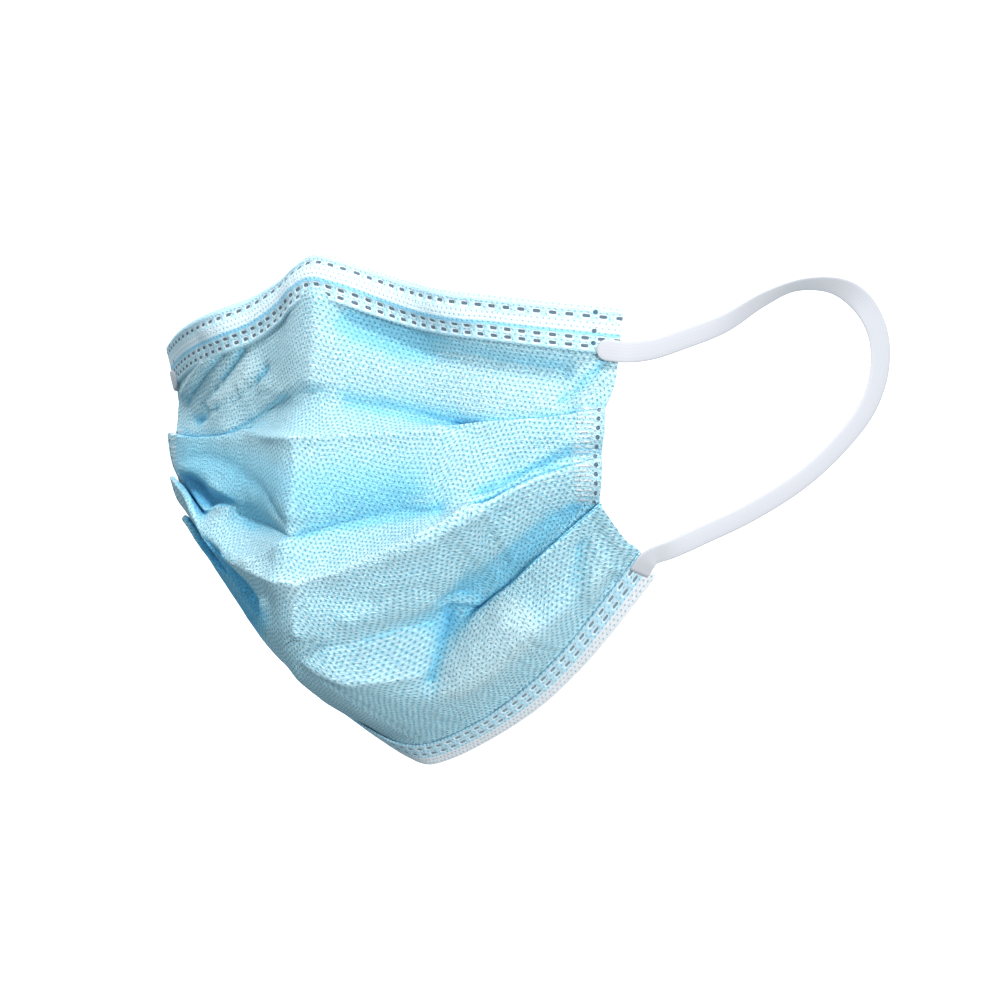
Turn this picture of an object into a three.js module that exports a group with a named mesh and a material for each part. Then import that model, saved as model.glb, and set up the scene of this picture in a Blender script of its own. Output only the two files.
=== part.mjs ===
import * as THREE from 'three';

// A pleated surgical face mask in the form it takes when worn.
// X runs to the wearer's left, Y back towards the face and Z up, in millimetres.
// The origin is the peak of the upper hem, where the mask hangs on the bridge of the nose.

// Driving dimensions
const HALF_WIDTH = 75.5; // bridge of the nose to an upper corner, straight across
const WORN_DEPTH = 45; // bridge of the nose back to the lower edge
const WORN_HEIGHT = 128; // bridge of the nose down to the lower edge
const CLOTH_WALL = 1; // the three plies together
const SEAT_GAP = 0.3; // clearance between pieces that lie on each other
const LAYER_PITCH = 1.9; // middle to middle of two layers in a closed pleat
const OPEN_PITCH = 3.2; // length of cloth that turns over an opened fold
const PANEL_LIFT = 0.1; // how far a panel's middle lies over a shut pleat, in layer pitches
const OPEN_GUIDE = 0.25; // share of an open panel at which it starts to bend into a pleat
const GUIDE_DEPTH = 1.5; // how deep a panel goes in behind a shut pleat, in layer pitches
const GUIDE_ROUND = 2; // corner rounding where a panel goes in behind a pleat
const FOLD_ROUND = 1.05; // corner rounding of a closed fold
const PANEL_ROUND = 8; // corner rounding at a panel's middle
const ROUND_SHARE = 0.62; // share of a corner's rounding that is cut off each of its edges
const EDGE_SHARE = 0.34; // and the most of an edge that a corner takes
const CHIN_ROUND = 12; // corner rounding where the cloth turns under the chin
const PLEAT_DEPTH = 10.5; // cloth hidden behind a closed pleat
const UPPER_HEM_HEIGHT = 11.2;
const LOWER_HEM_HEIGHT = 8.8;
const UPPER_TUCK = 2.8; // how far the panel reaches into the upper hem
const LOWER_TUCK = 5.4; // how far the panel reaches into the lower hem
const HEM_LEAD = 1.8; // the panel runs straight for this far before it enters a hem
const WIRE_LENGTH = 100;
const WIRE_WIDTH = 4;
const WIRE_THICKNESS = 0.9;
const WIRE_HEIGHT = 5.8; // middle of the wire above the lower line of the hem
const LOOP_WIDTH = 5.2;
const LOOP_THICKNESS = 1.1;
const LOOP_REACH = 74; // mask edge to the far end of an ear loop
const LOOP_WELD = 4.4; // length of each flat end that lies on a hem
const LOOP_UPPER_RISE = 1.2; // upper weld, above the lower line of the upper hem
const LOOP_LOWER_RISE = 3.4; // lower weld, below the upper line of the lower hem
const LOOP_SEAT_GAP = 0.5; // clearance under the flat ends, which lie on a curved hem

const STATION_COUNT = 34; // steps across the whole mask
const WIRE_STATIONS = 26; // steps along the nose wire
const SLOPE_STEP = 0.01; // share of the half width over which a hem's direction is taken
const UP = new THREE.Vector3(0, 0, 1);

// Each row is a line that runs across the mask, from the upper edge to the lower edge.
// The columns are places across half the mask, from the middle to the side edge.
// half is a share of HALF_WIDTH, back of WORN_DEPTH and down of WORN_HEIGHT.
const ACROSS = [0, 0.1, 0.2, 0.35, 0.5, 0.65, 0.8, 1];
const LINES = {
  upperEdge: { half: 1.000,
    back: [-0.011, 0.022, 0.080, 0.102, 0.080, 0.151, 0.289, 0.556],
    down: [0.000, 0.009, 0.033, 0.066, 0.091, 0.098, 0.107, 0.125] },
  upperHemLine: { half: 0.967,
    back: [-0.040, -0.007, 0.080, 0.151, 0.160, 0.229, 0.351, 0.584],
    down: [0.088, 0.103, 0.125, 0.152, 0.170, 0.184, 0.198, 0.214] },
  panel1: { half: 0.960,
    back: [-0.058, -0.031, 0.044, 0.147, 0.213, 0.289, 0.400, 0.573],
    down: [0.188, 0.195, 0.211, 0.230, 0.246, 0.255, 0.263, 0.270] },
  fold1: { half: 0.954,
    back: [-0.144, -0.111, -0.033, 0.078, 0.167, 0.244, 0.329, 0.489],
    down: [0.367, 0.363, 0.359, 0.352, 0.344, 0.338, 0.333, 0.318] },
  panel2: { half: 0.949,
    back: [-0.222, -0.184, -0.111, 0.000, 0.100, 0.196, 0.296, 0.489],
    down: [0.461, 0.457, 0.447, 0.432, 0.414, 0.398, 0.386, 0.371] },
  fold2: { half: 0.943,
    back: [-0.267, -0.211, -0.160, -0.080, -0.022, 0.111, 0.273, 0.489],
    down: [0.637, 0.633, 0.620, 0.592, 0.556, 0.505, 0.450, 0.409] },
  panel3: { half: 0.930,
    back: [-0.222, -0.189, -0.133, -0.022, 0.167, 0.289, 0.378, 0.511],
    down: [0.707, 0.707, 0.699, 0.672, 0.621, 0.562, 0.506, 0.457] },
  fold3: { half: 0.914,
    back: [-0.111, 0.000, 0.178, 0.422, 0.473, 0.478, 0.467, 0.540],
    down: [0.781, 0.811, 0.820, 0.762, 0.694, 0.637, 0.580, 0.493] },
  chinBend: { half: 0.900,
    back: [0.067, 0.200, 0.356, 0.544, 0.582, 0.622, 0.678, 0.800],
    down: [0.836, 0.852, 0.863, 0.844, 0.802, 0.750, 0.676, 0.559] },
  underChin: { half: 0.905,
    back: [0.444, 0.511, 0.600, 0.700, 0.733, 0.756, 0.789, 0.856],
    down: [0.898, 0.900, 0.897, 0.870, 0.824, 0.766, 0.686, 0.568] },
  lowerHemLine: { half: 0.910,
    back: [0.833, 0.836, 0.844, 0.853, 0.867, 0.873, 0.884, 0.900],
    down: [0.955, 0.947, 0.928, 0.891, 0.840, 0.777, 0.696, 0.578] },
  lowerEdge: { half: 0.915,
    back: [1.000, 1.000, 1.004, 1.009, 1.011, 1.011, 1.007, 1.000],
    down: [1.000, 0.983, 0.959, 0.918, 0.869, 0.806, 0.733, 0.613] },
};

// How each pleat stands at the same places: along is the inner fold's distance down the
// panel from the outer fold, negative where the pleat has opened, and under its depth
// behind it, both as shares of PLEAT_DEPTH; open runs from 0, shut, to 1, flat.
const PLEATS = {
  fold1: {
    along: [-1.00, -0.93, -0.80, -0.46, -0.05, 0.32, 0.50, 0.58],
    under: [0.20, 0.20, 0.20, 0.20, 0.24, 0.25, 0.24, 0.23],
    open: [1, 1, 0.95, 0.8, 0.45, 0.12, 0, 0] },
  fold2: {
    along: [-1.05, -1.12, -1.15, -1.05, -0.62, 0.05, 0.46, 0.58],
    under: [0.02, 0.08, 0.22, 0.36, 0.44, 0.34, 0.25, 0.23],
    open: [1, 1, 1, 0.9, 0.7, 0.25, 0.03, 0] },
  fold3: {
    along: [-0.30, -0.55, -0.90, -0.70, 0.05, 0.38, 0.52, 0.58],
    under: [0.02, 0.04, 0.10, 0.26, 0.30, 0.24, 0.22, 0.20],
    open: [1, 1, 1, 0.9, 0.35, 0.1, 0, 0] },
};

// The way the cloth faces across the mask, in degrees from straight ahead
const FACING = [0, 12, 16, 14, 18, 30, 38, 41];

// Ear loop path: at is a share of its length, down of the drop between the two welds, out
// of LOOP_REACH and width of LOOP_WIDTH; twist turns the strap about its path, in degrees.
const LOOP_STEPS = 60;
const LOOP_PATH = [
  { at: 0.00, down: -0.020, out: 0.100, width: 1.00, twist: 0 },
  { at: 0.11, down: -0.080, out: 0.230, width: 1.00, twist: 0 },
  { at: 0.18, down: -0.165, out: 0.390, width: 0.99, twist: 5 },
  { at: 0.25, down: -0.290, out: 0.550, width: 0.95, twist: 23 },
  { at: 0.31, down: -0.372, out: 0.700, width: 0.93, twist: 42 },
  { at: 0.37, down: -0.375, out: 0.853, width: 0.96, twist: 34 },
  { at: 0.41, down: -0.300, out: 0.945, width: 1.05, twist: 16 },
  { at: 0.45, down: -0.153, out: 0.998, width: 1.12, twist: 2 },
  { at: 0.50, down: 0.030, out: 0.990, width: 1.14, twist: 0 },
  { at: 0.56, down: 0.217, out: 0.927, width: 1.08, twist: 0 },
  { at: 0.64, down: 0.420, out: 0.790, width: 1.02, twist: 0 },
  { at: 0.72, down: 0.602, out: 0.620, width: 1.00, twist: 0 },
  { at: 0.81, down: 0.770, out: 0.400, width: 1.00, twist: 0 },
  { at: 0.89, down: 0.880, out: 0.215, width: 1.00, twist: 0 },
  { at: 1.00, down: 0.955, out: 0.085, width: 1.00, twist: 0 },
];
// heading turns a loop from sideways, 0, to straight back, 90, and droop lowers it, in degrees;
// overhang is how far past the side edge it turns back. The left loop is spread out.
const LOOPS = [
  { name: 'ear_loop_left', side: 1, heading: 66, droop: 0, overhang: 1.8 },
  { name: 'ear_loop_right', side: -1, heading: 93, droop: 12, overhang: 1.8 },
];

// Value of a table column at a share of the way from the middle to the side edge
function column(values, share, stops = ACROSS) {
  const last = stops.length - 1;
  let k = 0;
  while (k < last - 1 && share > stops[k + 1]) k += 1;
  const slope = (i) => {
    if (i === 0) return 0;
    if (i === last) return (values[last] - values[last - 1]) / (stops[last] - stops[last - 1]);
    return (values[i + 1] - values[i - 1]) / (stops[i + 1] - stops[i - 1]);
  };
  const span = stops[k + 1] - stops[k];
  const t = (share - stops[k]) / span;
  const t2 = t * t;
  const t3 = t2 * t;
  return (2 * t3 - 3 * t2 + 1) * values[k] + (t3 - 2 * t2 + t) * span * slope(k)
    + (3 * t2 - 2 * t3) * values[k + 1] + (t3 - t2) * span * slope(k + 1);
}

function linePoint(name, share) {
  const line = LINES[name];
  return new THREE.Vector3(
    line.half * HALF_WIDTH * share,
    column(line.back, share) * WORN_DEPTH,
    -column(line.down, share) * WORN_HEIGHT,
  );
}

// Direction across the cloth at a place, towards the side edge
function acrossDirection(share) {
  const angle = THREE.MathUtils.degToRad(column(FACING, share));
  return new THREE.Vector3(Math.cos(angle), Math.sin(angle), 0);
}

// The lower and upper hems: root is the line where the panel goes in, rise points to the
// outer edge and out away from the face.
function hemFrame(rootName, edgeName, share) {
  const root = linePoint(rootName, share);
  const rise = linePoint(edgeName, share).sub(root).normalize();
  const before = linePoint(rootName, Math.max(share - SLOPE_STEP, 0));
  const after = linePoint(rootName, Math.min(share + SLOPE_STEP, 1));
  const along = share < SLOPE_STEP ? new THREE.Vector3(1, 0, 0) : after.sub(before).normalize();
  const out = new THREE.Vector3().crossVectors(along, rise);
  if (out.y > 0) out.negate();
  return { root, rise, along, out: out.normalize() };
}

// One pleat's corners in the order in which the cloth passes them: where the panel above
// goes in behind the pleat, then two corners each of the inner and the outer fold
function pleatCorners(name, before, after, share) {
  const outer = linePoint(name, share);
  const pleat = PLEATS[name];
  const open = THREE.MathUtils.clamp(column(pleat.open, share), 0, 1);
  const run = linePoint(after, share).sub(outer.clone().lerp(linePoint(before, share), open));
  const across = acrossDirection(share);
  run.addScaledVector(across, -run.dot(across)).normalize();
  const out = new THREE.Vector3().crossVectors(run, across);
  const inner = outer.clone()
    .addScaledVector(run, column(pleat.along, share) * PLEAT_DEPTH)
    .addScaledVector(out, -column(pleat.under, share) * PLEAT_DEPTH);
  const turn = open * Math.PI / 2;
  const half = THREE.MathUtils.lerp(LAYER_PITCH, OPEN_PITCH, open) / 2;
  const reach = out.clone().multiplyScalar(half * Math.cos(turn)).addScaledVector(run, half * Math.sin(turn));
  const round = THREE.MathUtils.lerp(FOLD_ROUND, OPEN_PITCH, open);
  const straight = inner.clone().sub(reach).lerp(linePoint(before, share), OPEN_GUIDE);
  const guide = outer.clone().addScaledVector(out, -LAYER_PITCH * GUIDE_DEPTH).lerp(straight, Math.min(open * 2, 1));
  const folds = [inner, outer].flatMap((middle) => [
    { point: middle.clone().sub(reach), round },
    { point: middle.clone().add(reach), round },
  ]);
  return [{ point: guide, round: GUIDE_ROUND }, ...folds];
}

// A panel's middle, which lies half a layer proud where the pleat above it is shut
function coverPoint(name, fold, share) {
  const across = acrossDirection(share);
  const out = new THREE.Vector3().crossVectors(across, UP);
  const shut = 1 - THREE.MathUtils.clamp(column(PLEATS[fold].open, share), 0, 1);
  return linePoint(name, share).addScaledVector(out, shut * LAYER_PITCH * PANEL_LIFT);
}

// The corners that the cloth passes at one place, from inside the upper hem to inside the lower one
function profileCorners(share) {
  const soft = (name, round) => ({ point: linePoint(name, share), round });
  const cover = (name, fold, round) => ({ point: coverPoint(name, fold, share), round });
  const upper = hemFrame('upperHemLine', 'upperEdge', share);
  const lower = hemFrame('lowerHemLine', 'lowerEdge', share);
  return [
    { point: upper.root.clone().addScaledVector(upper.rise, UPPER_TUCK), round: 0 },
    { point: upper.root.clone().addScaledVector(upper.rise, -HEM_LEAD), round: GUIDE_ROUND },
    soft('panel1', PANEL_ROUND),
    ...pleatCorners('fold1', 'panel1', 'panel2', share),
    cover('panel2', 'fold1', PANEL_ROUND),
    ...pleatCorners('fold2', 'panel2', 'panel3', share),
    cover('panel3', 'fold2', PANEL_ROUND),
    ...pleatCorners('fold3', 'panel3', 'chinBend', share),
    cover('chinBend', 'fold3', CHIN_ROUND),
    soft('underChin', CHIN_ROUND),
    { point: lower.root.clone().addScaledVector(lower.rise, -HEM_LEAD), round: GUIDE_ROUND },
    { point: lower.root.clone().addScaledVector(lower.rise, LOWER_TUCK), round: 0 },
  ];
}

// Cuts each corner of a path into two points, so that folds are rounded
function roundedPath(corners) {
  const path = [corners[0].point];
  for (let k = 1; k < corners.length - 1; k += 1) {
    const here = corners[k].point;
    for (const other of [corners[k - 1].point, corners[k + 1].point]) {
      const length = here.distanceTo(other);
      const cut = Math.min(corners[k].round * ROUND_SHARE, length * EDGE_SHARE);
      path.push(here.clone().lerp(other, cut / length));
    }
  }
  path.push(corners[corners.length - 1].point);
  return path;
}

// A closed wall of even thickness about a grid of middle points; rows run down the cloth,
// columns across it towards +X, and the outer face looks away from the wearer.
function closedWall(grid, thickness) {
  const rows = grid.length;
  const columns = grid[0].length;
  const positions = [];
  for (const side of [0.5, -0.5]) {
    for (let i = 0; i < rows; i += 1) {
      for (let j = 0; j < columns; j += 1) {
        const down = grid[Math.min(i + 1, rows - 1)][j].clone().sub(grid[Math.max(i - 1, 0)][j]);
        const over = grid[i][Math.min(j + 1, columns - 1)].clone().sub(grid[i][Math.max(j - 1, 0)]);
        const normal = down.cross(over).normalize();
        const point = grid[i][j].clone().addScaledVector(normal, side * thickness);
        positions.push(point.x, point.y, point.z);
      }
    }
  }
  const faces = [];
  const outer = (i, j) => i * columns + j;
  const inner = (i, j) => rows * columns + i * columns + j;
  const quad = (a, b, c, d) => faces.push(a, b, c, a, c, d);
  for (let i = 0; i < rows - 1; i += 1) {
    for (let j = 0; j < columns - 1; j += 1) {
      const front = [outer(i, j), outer(i + 1, j), outer(i + 1, j + 1), outer(i, j + 1)];
      const back = [inner(i, j), inner(i, j + 1), inner(i + 1, j + 1), inner(i + 1, j)];
      // The two halves are split the opposite way, so that they mirror each other.
      for (const corners of [front, back]) {
        if (2 * j + 2 <= columns) corners.push(corners.shift());
        quad(...corners);
      }
    }
    quad(inner(i, 0), inner(i + 1, 0), outer(i + 1, 0), outer(i, 0));
    const end = columns - 1;
    quad(outer(i, end), outer(i + 1, end), inner(i + 1, end), inner(i, end));
  }
  for (let j = 0; j < columns - 1; j += 1) {
    const end = rows - 1;
    quad(outer(0, j), outer(0, j + 1), inner(0, j + 1), inner(0, j));
    quad(inner(end, j), inner(end, j + 1), outer(end, j + 1), outer(end, j));
  }
  const geometry = new THREE.BufferGeometry();
  geometry.setAttribute('position', new THREE.Float32BufferAttribute(positions, 3));
  geometry.setIndex(faces);
  geometry.computeVertexNormals();
  return geometry;
}

// A grid across the whole mask from a function that gives the column of points for one half
function wholeGrid(pointsAt, limit = 1, count = STATION_COUNT) {
  const columns = [];
  for (let j = 0; j <= count; j += 1) {
    const share = limit * (2 * j / count - 1);
    const mirror = new THREE.Vector3(share < 0 ? -1 : 1, 1, 1);
    columns.push(pointsAt(Math.abs(share)).map((point) => point.multiply(mirror)));
  }
  return columns[0].map((_, i) => columns.map((points) => points[i]));
}

// A folded-over hem in section: down the outer leg, round the edge and back up the inner leg
function hemSection(frame, height, edgeFirst) {
  const radius = CLOTH_WALL + SEAT_GAP;
  const foldCentre = height - CLOTH_WALL / 2 - radius;
  const section = [[0, radius], [foldCentre * 0.5, radius], [foldCentre, radius]];
  for (const angle of [60, 30, 0, -30, -60]) {
    const turn = THREE.MathUtils.degToRad(angle);
    section.push([foldCentre + radius * Math.cos(turn), radius * Math.sin(turn)]);
  }
  section.push([foldCentre, -radius], [foldCentre * 0.5, -radius], [0, -radius]);
  const points = section.map(([rise, out]) => frame.root.clone()
    .addScaledVector(frame.rise, rise)
    .addScaledVector(frame.out, out));
  return edgeFirst ? points.reverse() : points;
}

function bodyGeometry() {
  return closedWall(wholeGrid((share) => roundedPath(profileCorners(share))), CLOTH_WALL);
}

function upperHemGeometry() {
  const section = (share) => hemSection(hemFrame('upperHemLine', 'upperEdge', share), UPPER_HEM_HEIGHT, true);
  return closedWall(wholeGrid(section), CLOTH_WALL);
}

function lowerHemGeometry() {
  const section = (share) => hemSection(hemFrame('lowerHemLine', 'lowerEdge', share), LOWER_HEM_HEIGHT, false);
  return closedWall(wholeGrid(section), CLOTH_WALL);
}

function wireGeometry() {
  const section = (share) => {
    const frame = hemFrame('upperHemLine', 'upperEdge', share);
    return [0.5, -0.5].map((side) => frame.root.clone()
      .addScaledVector(frame.rise, WIRE_HEIGHT + side * WIRE_WIDTH));
  };
  let limit = 0;
  let length = 0;
  const step = 0.005;
  while (length < WIRE_LENGTH / 2 && limit < 1) {
    const here = section(limit)[0];
    limit += step;
    length += here.distanceTo(section(limit)[0]);
  }
  return closedWall(wholeGrid(section, limit, WIRE_STATIONS), WIRE_THICKNESS);
}

// A place on the outer face of a hem where an ear loop's flat end lies
function loopSeat(rootName, edgeName, inset, rise, overhang) {
  const share = 1 - inset / (LINES[rootName].half * HALF_WIDTH);
  const frame = hemFrame(rootName, edgeName, share);
  const lift = CLOTH_WALL * 1.5 + SEAT_GAP + LOOP_SEAT_GAP + LOOP_THICKNESS / 2;
  const point = frame.root.clone().addScaledVector(frame.rise, rise).addScaledVector(frame.out, lift);
  return { point, out: frame.out, past: point.clone().addScaledVector(frame.along, overhang) };
}

// A flat strap from its upper weld, round behind the ear and back to its lower weld
function earLoopGeometry({ side, heading, droop, overhang }) {
  const upperSeat = (inset) => loopSeat('upperHemLine', 'upperEdge', inset, LOOP_UPPER_RISE, overhang);
  const lowerSeat = (inset) => loopSeat('lowerHemLine', 'lowerEdge', inset, LOOP_LOWER_RISE, overhang);
  const upper = upperSeat(0);
  const lower = lowerSeat(0);
  const flat = THREE.MathUtils.degToRad(heading);
  const sink = THREE.MathUtils.degToRad(droop);
  const reach = new THREE.Vector3(
    Math.cos(flat) * Math.cos(sink),
    Math.sin(flat) * Math.cos(sink),
    -Math.sin(sink),
  );
  const drop = lower.past.clone().sub(upper.past);
  const curve = new THREE.CatmullRomCurve3([
    upperSeat(LOOP_WELD).point,
    upper.past,
    ...LOOP_PATH.map((row) => upper.past.clone()
      .addScaledVector(drop, row.down)
      .addScaledVector(reach, row.out * LOOP_REACH)),
    lower.past,
    lowerSeat(LOOP_WELD).point,
  ], false, 'centripetal');
  curve.arcLengthDivisions = 600;
  const length = curve.getLength();
  const plane = new THREE.Vector3().crossVectors(drop, reach).normalize();
  if (plane.dot(upper.out) < 0) plane.negate();
  const stops = LOOP_PATH.map((row) => row.at);
  const widths = LOOP_PATH.map((row) => row.width);
  const twists = LOOP_PATH.map((row) => row.twist);
  const grid = [[], []];
  for (let j = 0; j <= LOOP_STEPS; j += 1) {
    const t = j / LOOP_STEPS;
    const middle = curve.getPointAt(t);
    const tangent = curve.getTangentAt(t);
    const settle = (distance) => 1 - THREE.MathUtils.smoothstep(distance, LOOP_WELD, LOOP_WELD * 4);
    const facing = plane.clone()
      .lerp(upper.out, settle(t * length))
      .lerp(lower.out, settle((1 - t) * length));
    facing.addScaledVector(tangent, -facing.dot(tangent)).normalize();
    facing.applyAxisAngle(tangent, THREE.MathUtils.degToRad(column(twists, t, stops)));
    const edge = new THREE.Vector3().crossVectors(facing, tangent).normalize();
    const half = column(widths, t, stops) * LOOP_WIDTH / 2;
    grid[0].push(middle.clone().addScaledVector(edge, half));
    grid[1].push(middle.clone().addScaledVector(edge, -half));
  }
  for (const row of grid) {
    for (const point of row) point.x *= side;
  }
  if (side < 0) grid.reverse();
  return closedWall(grid, LOOP_THICKNESS);
}

function piece(name, geometry, color, roughness, metalness = 0) {
  const material = new THREE.MeshStandardMaterial({ color, roughness, metalness });
  const mesh = new THREE.Mesh(geometry, material);
  mesh.name = name;
  return mesh;
}

const mask = new THREE.Group();
mask.add(
  piece('mask_body', bodyGeometry(), 0x8fd0ea, 0.85),
  piece('upper_hem', upperHemGeometry(), 0xdff1f8, 0.85),
  piece('lower_hem', lowerHemGeometry(), 0xdfe6ee, 0.85),
  piece('nose_wire', wireGeometry(), 0xf2f5f7, 0.45),
);
for (const loop of LOOPS) {
  mask.add(piece(loop.name, earLoopGeometry(loop), 0xeff0f5, 0.7));
}

export default mask;
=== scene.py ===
"""A pleated face mask in its worn shape: panel, two bound hems, nose strip and ear loops."""

import math
from functools import partial

import bpy
import numpy as np
from mathutils import Matrix, Vector, noise
from mathutils.bvhtree import BVHTree


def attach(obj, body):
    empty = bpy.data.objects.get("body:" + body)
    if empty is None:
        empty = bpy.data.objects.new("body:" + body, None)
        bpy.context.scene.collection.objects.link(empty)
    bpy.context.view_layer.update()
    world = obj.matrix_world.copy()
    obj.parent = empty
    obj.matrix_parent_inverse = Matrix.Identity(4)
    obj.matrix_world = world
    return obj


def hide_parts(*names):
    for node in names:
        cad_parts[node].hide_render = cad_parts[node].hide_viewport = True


bl_info = {
    "name": "Pleated Face Mask",
    "version": (1, 0, 0),
    "blender": (4, 5, 0),
    "location": "3D View > Sidebar > Mask",
    "description": "Builds the cloth, hems, nose strip, ear loops and stage of a pleated face mask",
    "category": "Object",
}

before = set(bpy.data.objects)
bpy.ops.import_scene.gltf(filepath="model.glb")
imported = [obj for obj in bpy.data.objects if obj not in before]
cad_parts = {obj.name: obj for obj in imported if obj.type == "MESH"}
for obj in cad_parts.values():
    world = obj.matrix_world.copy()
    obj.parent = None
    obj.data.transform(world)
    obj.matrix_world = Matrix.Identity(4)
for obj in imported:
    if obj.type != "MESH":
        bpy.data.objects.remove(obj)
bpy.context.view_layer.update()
BODY = "root"
MM = 0.001

# The sizes and tables down to LOOPS are the part's own, in millimetres. A ROUND is how wide a
# corner of the panel bends, GUIDE_DEPTH is in layers of a shut pleat, and LOOP_TURN is how far
# along a strap it turns from lying on the hem into its own plane.
HALF_WIDTH = 75.5
WORN_DEPTH = 45.0
WORN_HEIGHT = 128.0
PLEAT_DEPTH = 10.5
UPPER_HEM_HEIGHT = 11.2
LOWER_HEM_HEIGHT = 8.8
UPPER_TUCK = 2.8
LOWER_TUCK = 5.4
HEM_LEAD = 1.8
WIRE_LENGTH = 100.0
WIRE_WIDTH = 4.0
WIRE_HEIGHT = 5.8
LOOP_REACH = 74.0
LOOP_WELD = 4.4
LOOP_TURN = LOOP_WELD * 4
LOOP_UPPER_RISE = 1.2
LOOP_LOWER_RISE = 3.4
OPEN_GUIDE = 0.25
GUIDE_DEPTH = 1.5
GUIDE_ROUND = 2.0
HEM_ROUND = 2.0
PANEL_ROUND = 8.0
CHIN_ROUND = 12.0
FLAT_WIDTH = 175.0

# Lines that run across the mask, from the upper edge to the lower edge, at the places ACROSS
# from the middle to the side. half is a share of HALF_WIDTH, back of WORN_DEPTH, down of
# WORN_HEIGHT.
ACROSS = [0, 0.1, 0.2, 0.35, 0.5, 0.65, 0.8, 1]
LINES = {
    "upper_edge": {
        "half": 1.000,
        "back": [-0.011, 0.022, 0.080, 0.102, 0.080, 0.151, 0.289, 0.556],
        "down": [0.000, 0.009, 0.033, 0.066, 0.091, 0.098, 0.107, 0.125]},
    "upper_hem_line": {
        "half": 0.967,
        "back": [-0.040, -0.007, 0.080, 0.151, 0.160, 0.229, 0.351, 0.584],
        "down": [0.088, 0.103, 0.125, 0.152, 0.170, 0.184, 0.198, 0.214]},
    "panel_1": {
        "half": 0.960,
        "back": [-0.058, -0.031, 0.044, 0.147, 0.213, 0.289, 0.400, 0.573],
        "down": [0.188, 0.195, 0.211, 0.230, 0.246, 0.255, 0.263, 0.270]},
    "fold_1": {
        "half": 0.954,
        "back": [-0.144, -0.111, -0.033, 0.078, 0.167, 0.244, 0.329, 0.489],
        "down": [0.367, 0.363, 0.359, 0.352, 0.344, 0.338, 0.333, 0.318]},
    "panel_2": {
        "half": 0.949,
        "back": [-0.222, -0.184, -0.111, 0.000, 0.100, 0.196, 0.296, 0.489],
        "down": [0.461, 0.457, 0.447, 0.432, 0.414, 0.398, 0.386, 0.371]},
    "fold_2": {
        "half": 0.943,
        "back": [-0.267, -0.211, -0.160, -0.080, -0.022, 0.111, 0.273, 0.489],
        "down": [0.637, 0.633, 0.620, 0.592, 0.556, 0.505, 0.450, 0.409]},
    "panel_3": {
        "half": 0.930,
        "back": [-0.222, -0.189, -0.133, -0.022, 0.167, 0.289, 0.378, 0.511],
        "down": [0.707, 0.707, 0.699, 0.672, 0.621, 0.562, 0.506, 0.457]},
    "fold_3": {
        "half": 0.914,
        "back": [-0.111, 0.000, 0.178, 0.422, 0.473, 0.478, 0.467, 0.540],
        "down": [0.781, 0.811, 0.820, 0.762, 0.694, 0.637, 0.580, 0.493]},
    "chin_bend": {
        "half": 0.900,
        "back": [0.067, 0.200, 0.356, 0.544, 0.582, 0.622, 0.678, 0.800],
        "down": [0.836, 0.852, 0.863, 0.844, 0.802, 0.750, 0.676, 0.559]},
    "under_chin": {
        "half": 0.905,
        "back": [0.444, 0.511, 0.600, 0.700, 0.733, 0.756, 0.789, 0.856],
        "down": [0.898, 0.900, 0.897, 0.870, 0.824, 0.766, 0.686, 0.568]},
    "lower_hem_line": {
        "half": 0.910,
        "back": [0.833, 0.836, 0.844, 0.853, 0.867, 0.873, 0.884, 0.900],
        "down": [0.955, 0.947, 0.928, 0.891, 0.840, 0.777, 0.696, 0.578]},
    "lower_edge": {
        "half": 0.915,
        "back": [1.000, 1.000, 1.004, 1.009, 1.011, 1.011, 1.007, 1.000],
        "down": [1.000, 0.983, 0.959, 0.918, 0.869, 0.806, 0.733, 0.613]},
}

# How each pleat stands: along is the inner fold's distance down the panel from the outer fold,
# under its depth behind it, both as shares of PLEAT_DEPTH; open runs from 0, shut, to 1, flat.
PLEATS = {
    "fold_1": {
        "along": [-1.00, -0.93, -0.80, -0.46, -0.05, 0.32, 0.50, 0.58],
        "under": [0.20, 0.20, 0.20, 0.20, 0.22, 0.18, 0.13, 0.12],
        "open": [1, 1, 0.95, 0.8, 0.45, 0.12, 0, 0]},
    "fold_2": {
        "along": [-1.05, -1.12, -1.15, -1.05, -0.62, 0.05, 0.46, 0.58],
        "under": [0.02, 0.08, 0.22, 0.36, 0.44, 0.30, 0.15, 0.12],
        "open": [1, 1, 1, 0.9, 0.7, 0.25, 0.03, 0]},
    "fold_3": {
        "along": [-0.30, -0.55, -0.90, -0.70, 0.05, 0.38, 0.52, 0.58],
        "under": [0.02, 0.04, 0.10, 0.26, 0.26, 0.18, 0.13, 0.12],
        "open": [1, 1, 1, 0.9, 0.35, 0.1, 0, 0]},
}
FACING = [0, 12, 16, 14, 18, 30, 38, 41]  # the way the cloth faces, in degrees from straight ahead

# Ear loop path: at is a share of its length, down of the drop between the welds, out of
# LOOP_REACH and width of the strap's width; twist turns the strap, in degrees.
LOOP_PATH = {
    "at": [0.00, 0.11, 0.18, 0.25, 0.31, 0.37, 0.41, 0.45, 0.50, 0.56, 0.64, 0.72, 0.81, 0.89, 1.00],
    "down": [-0.020, -0.080, -0.165, -0.290, -0.372, -0.375, -0.300, -0.153,
             0.030, 0.217, 0.420, 0.602, 0.770, 0.880, 0.955],
    "out": [0.100, 0.230, 0.390, 0.550, 0.700, 0.853, 0.945, 0.998,
            0.990, 0.927, 0.790, 0.620, 0.400, 0.215, 0.085],
    "width": [1.00, 1.00, 0.99, 0.95, 0.93, 0.96, 1.05, 1.12, 1.14, 1.08, 1.02, 1.00, 1.00, 1.00, 1.00],
    "twist": [0, 0, 5, 23, 42, 34, 16, 2, 0, 0, 0, 0, 0, 0, 0],
}
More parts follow.
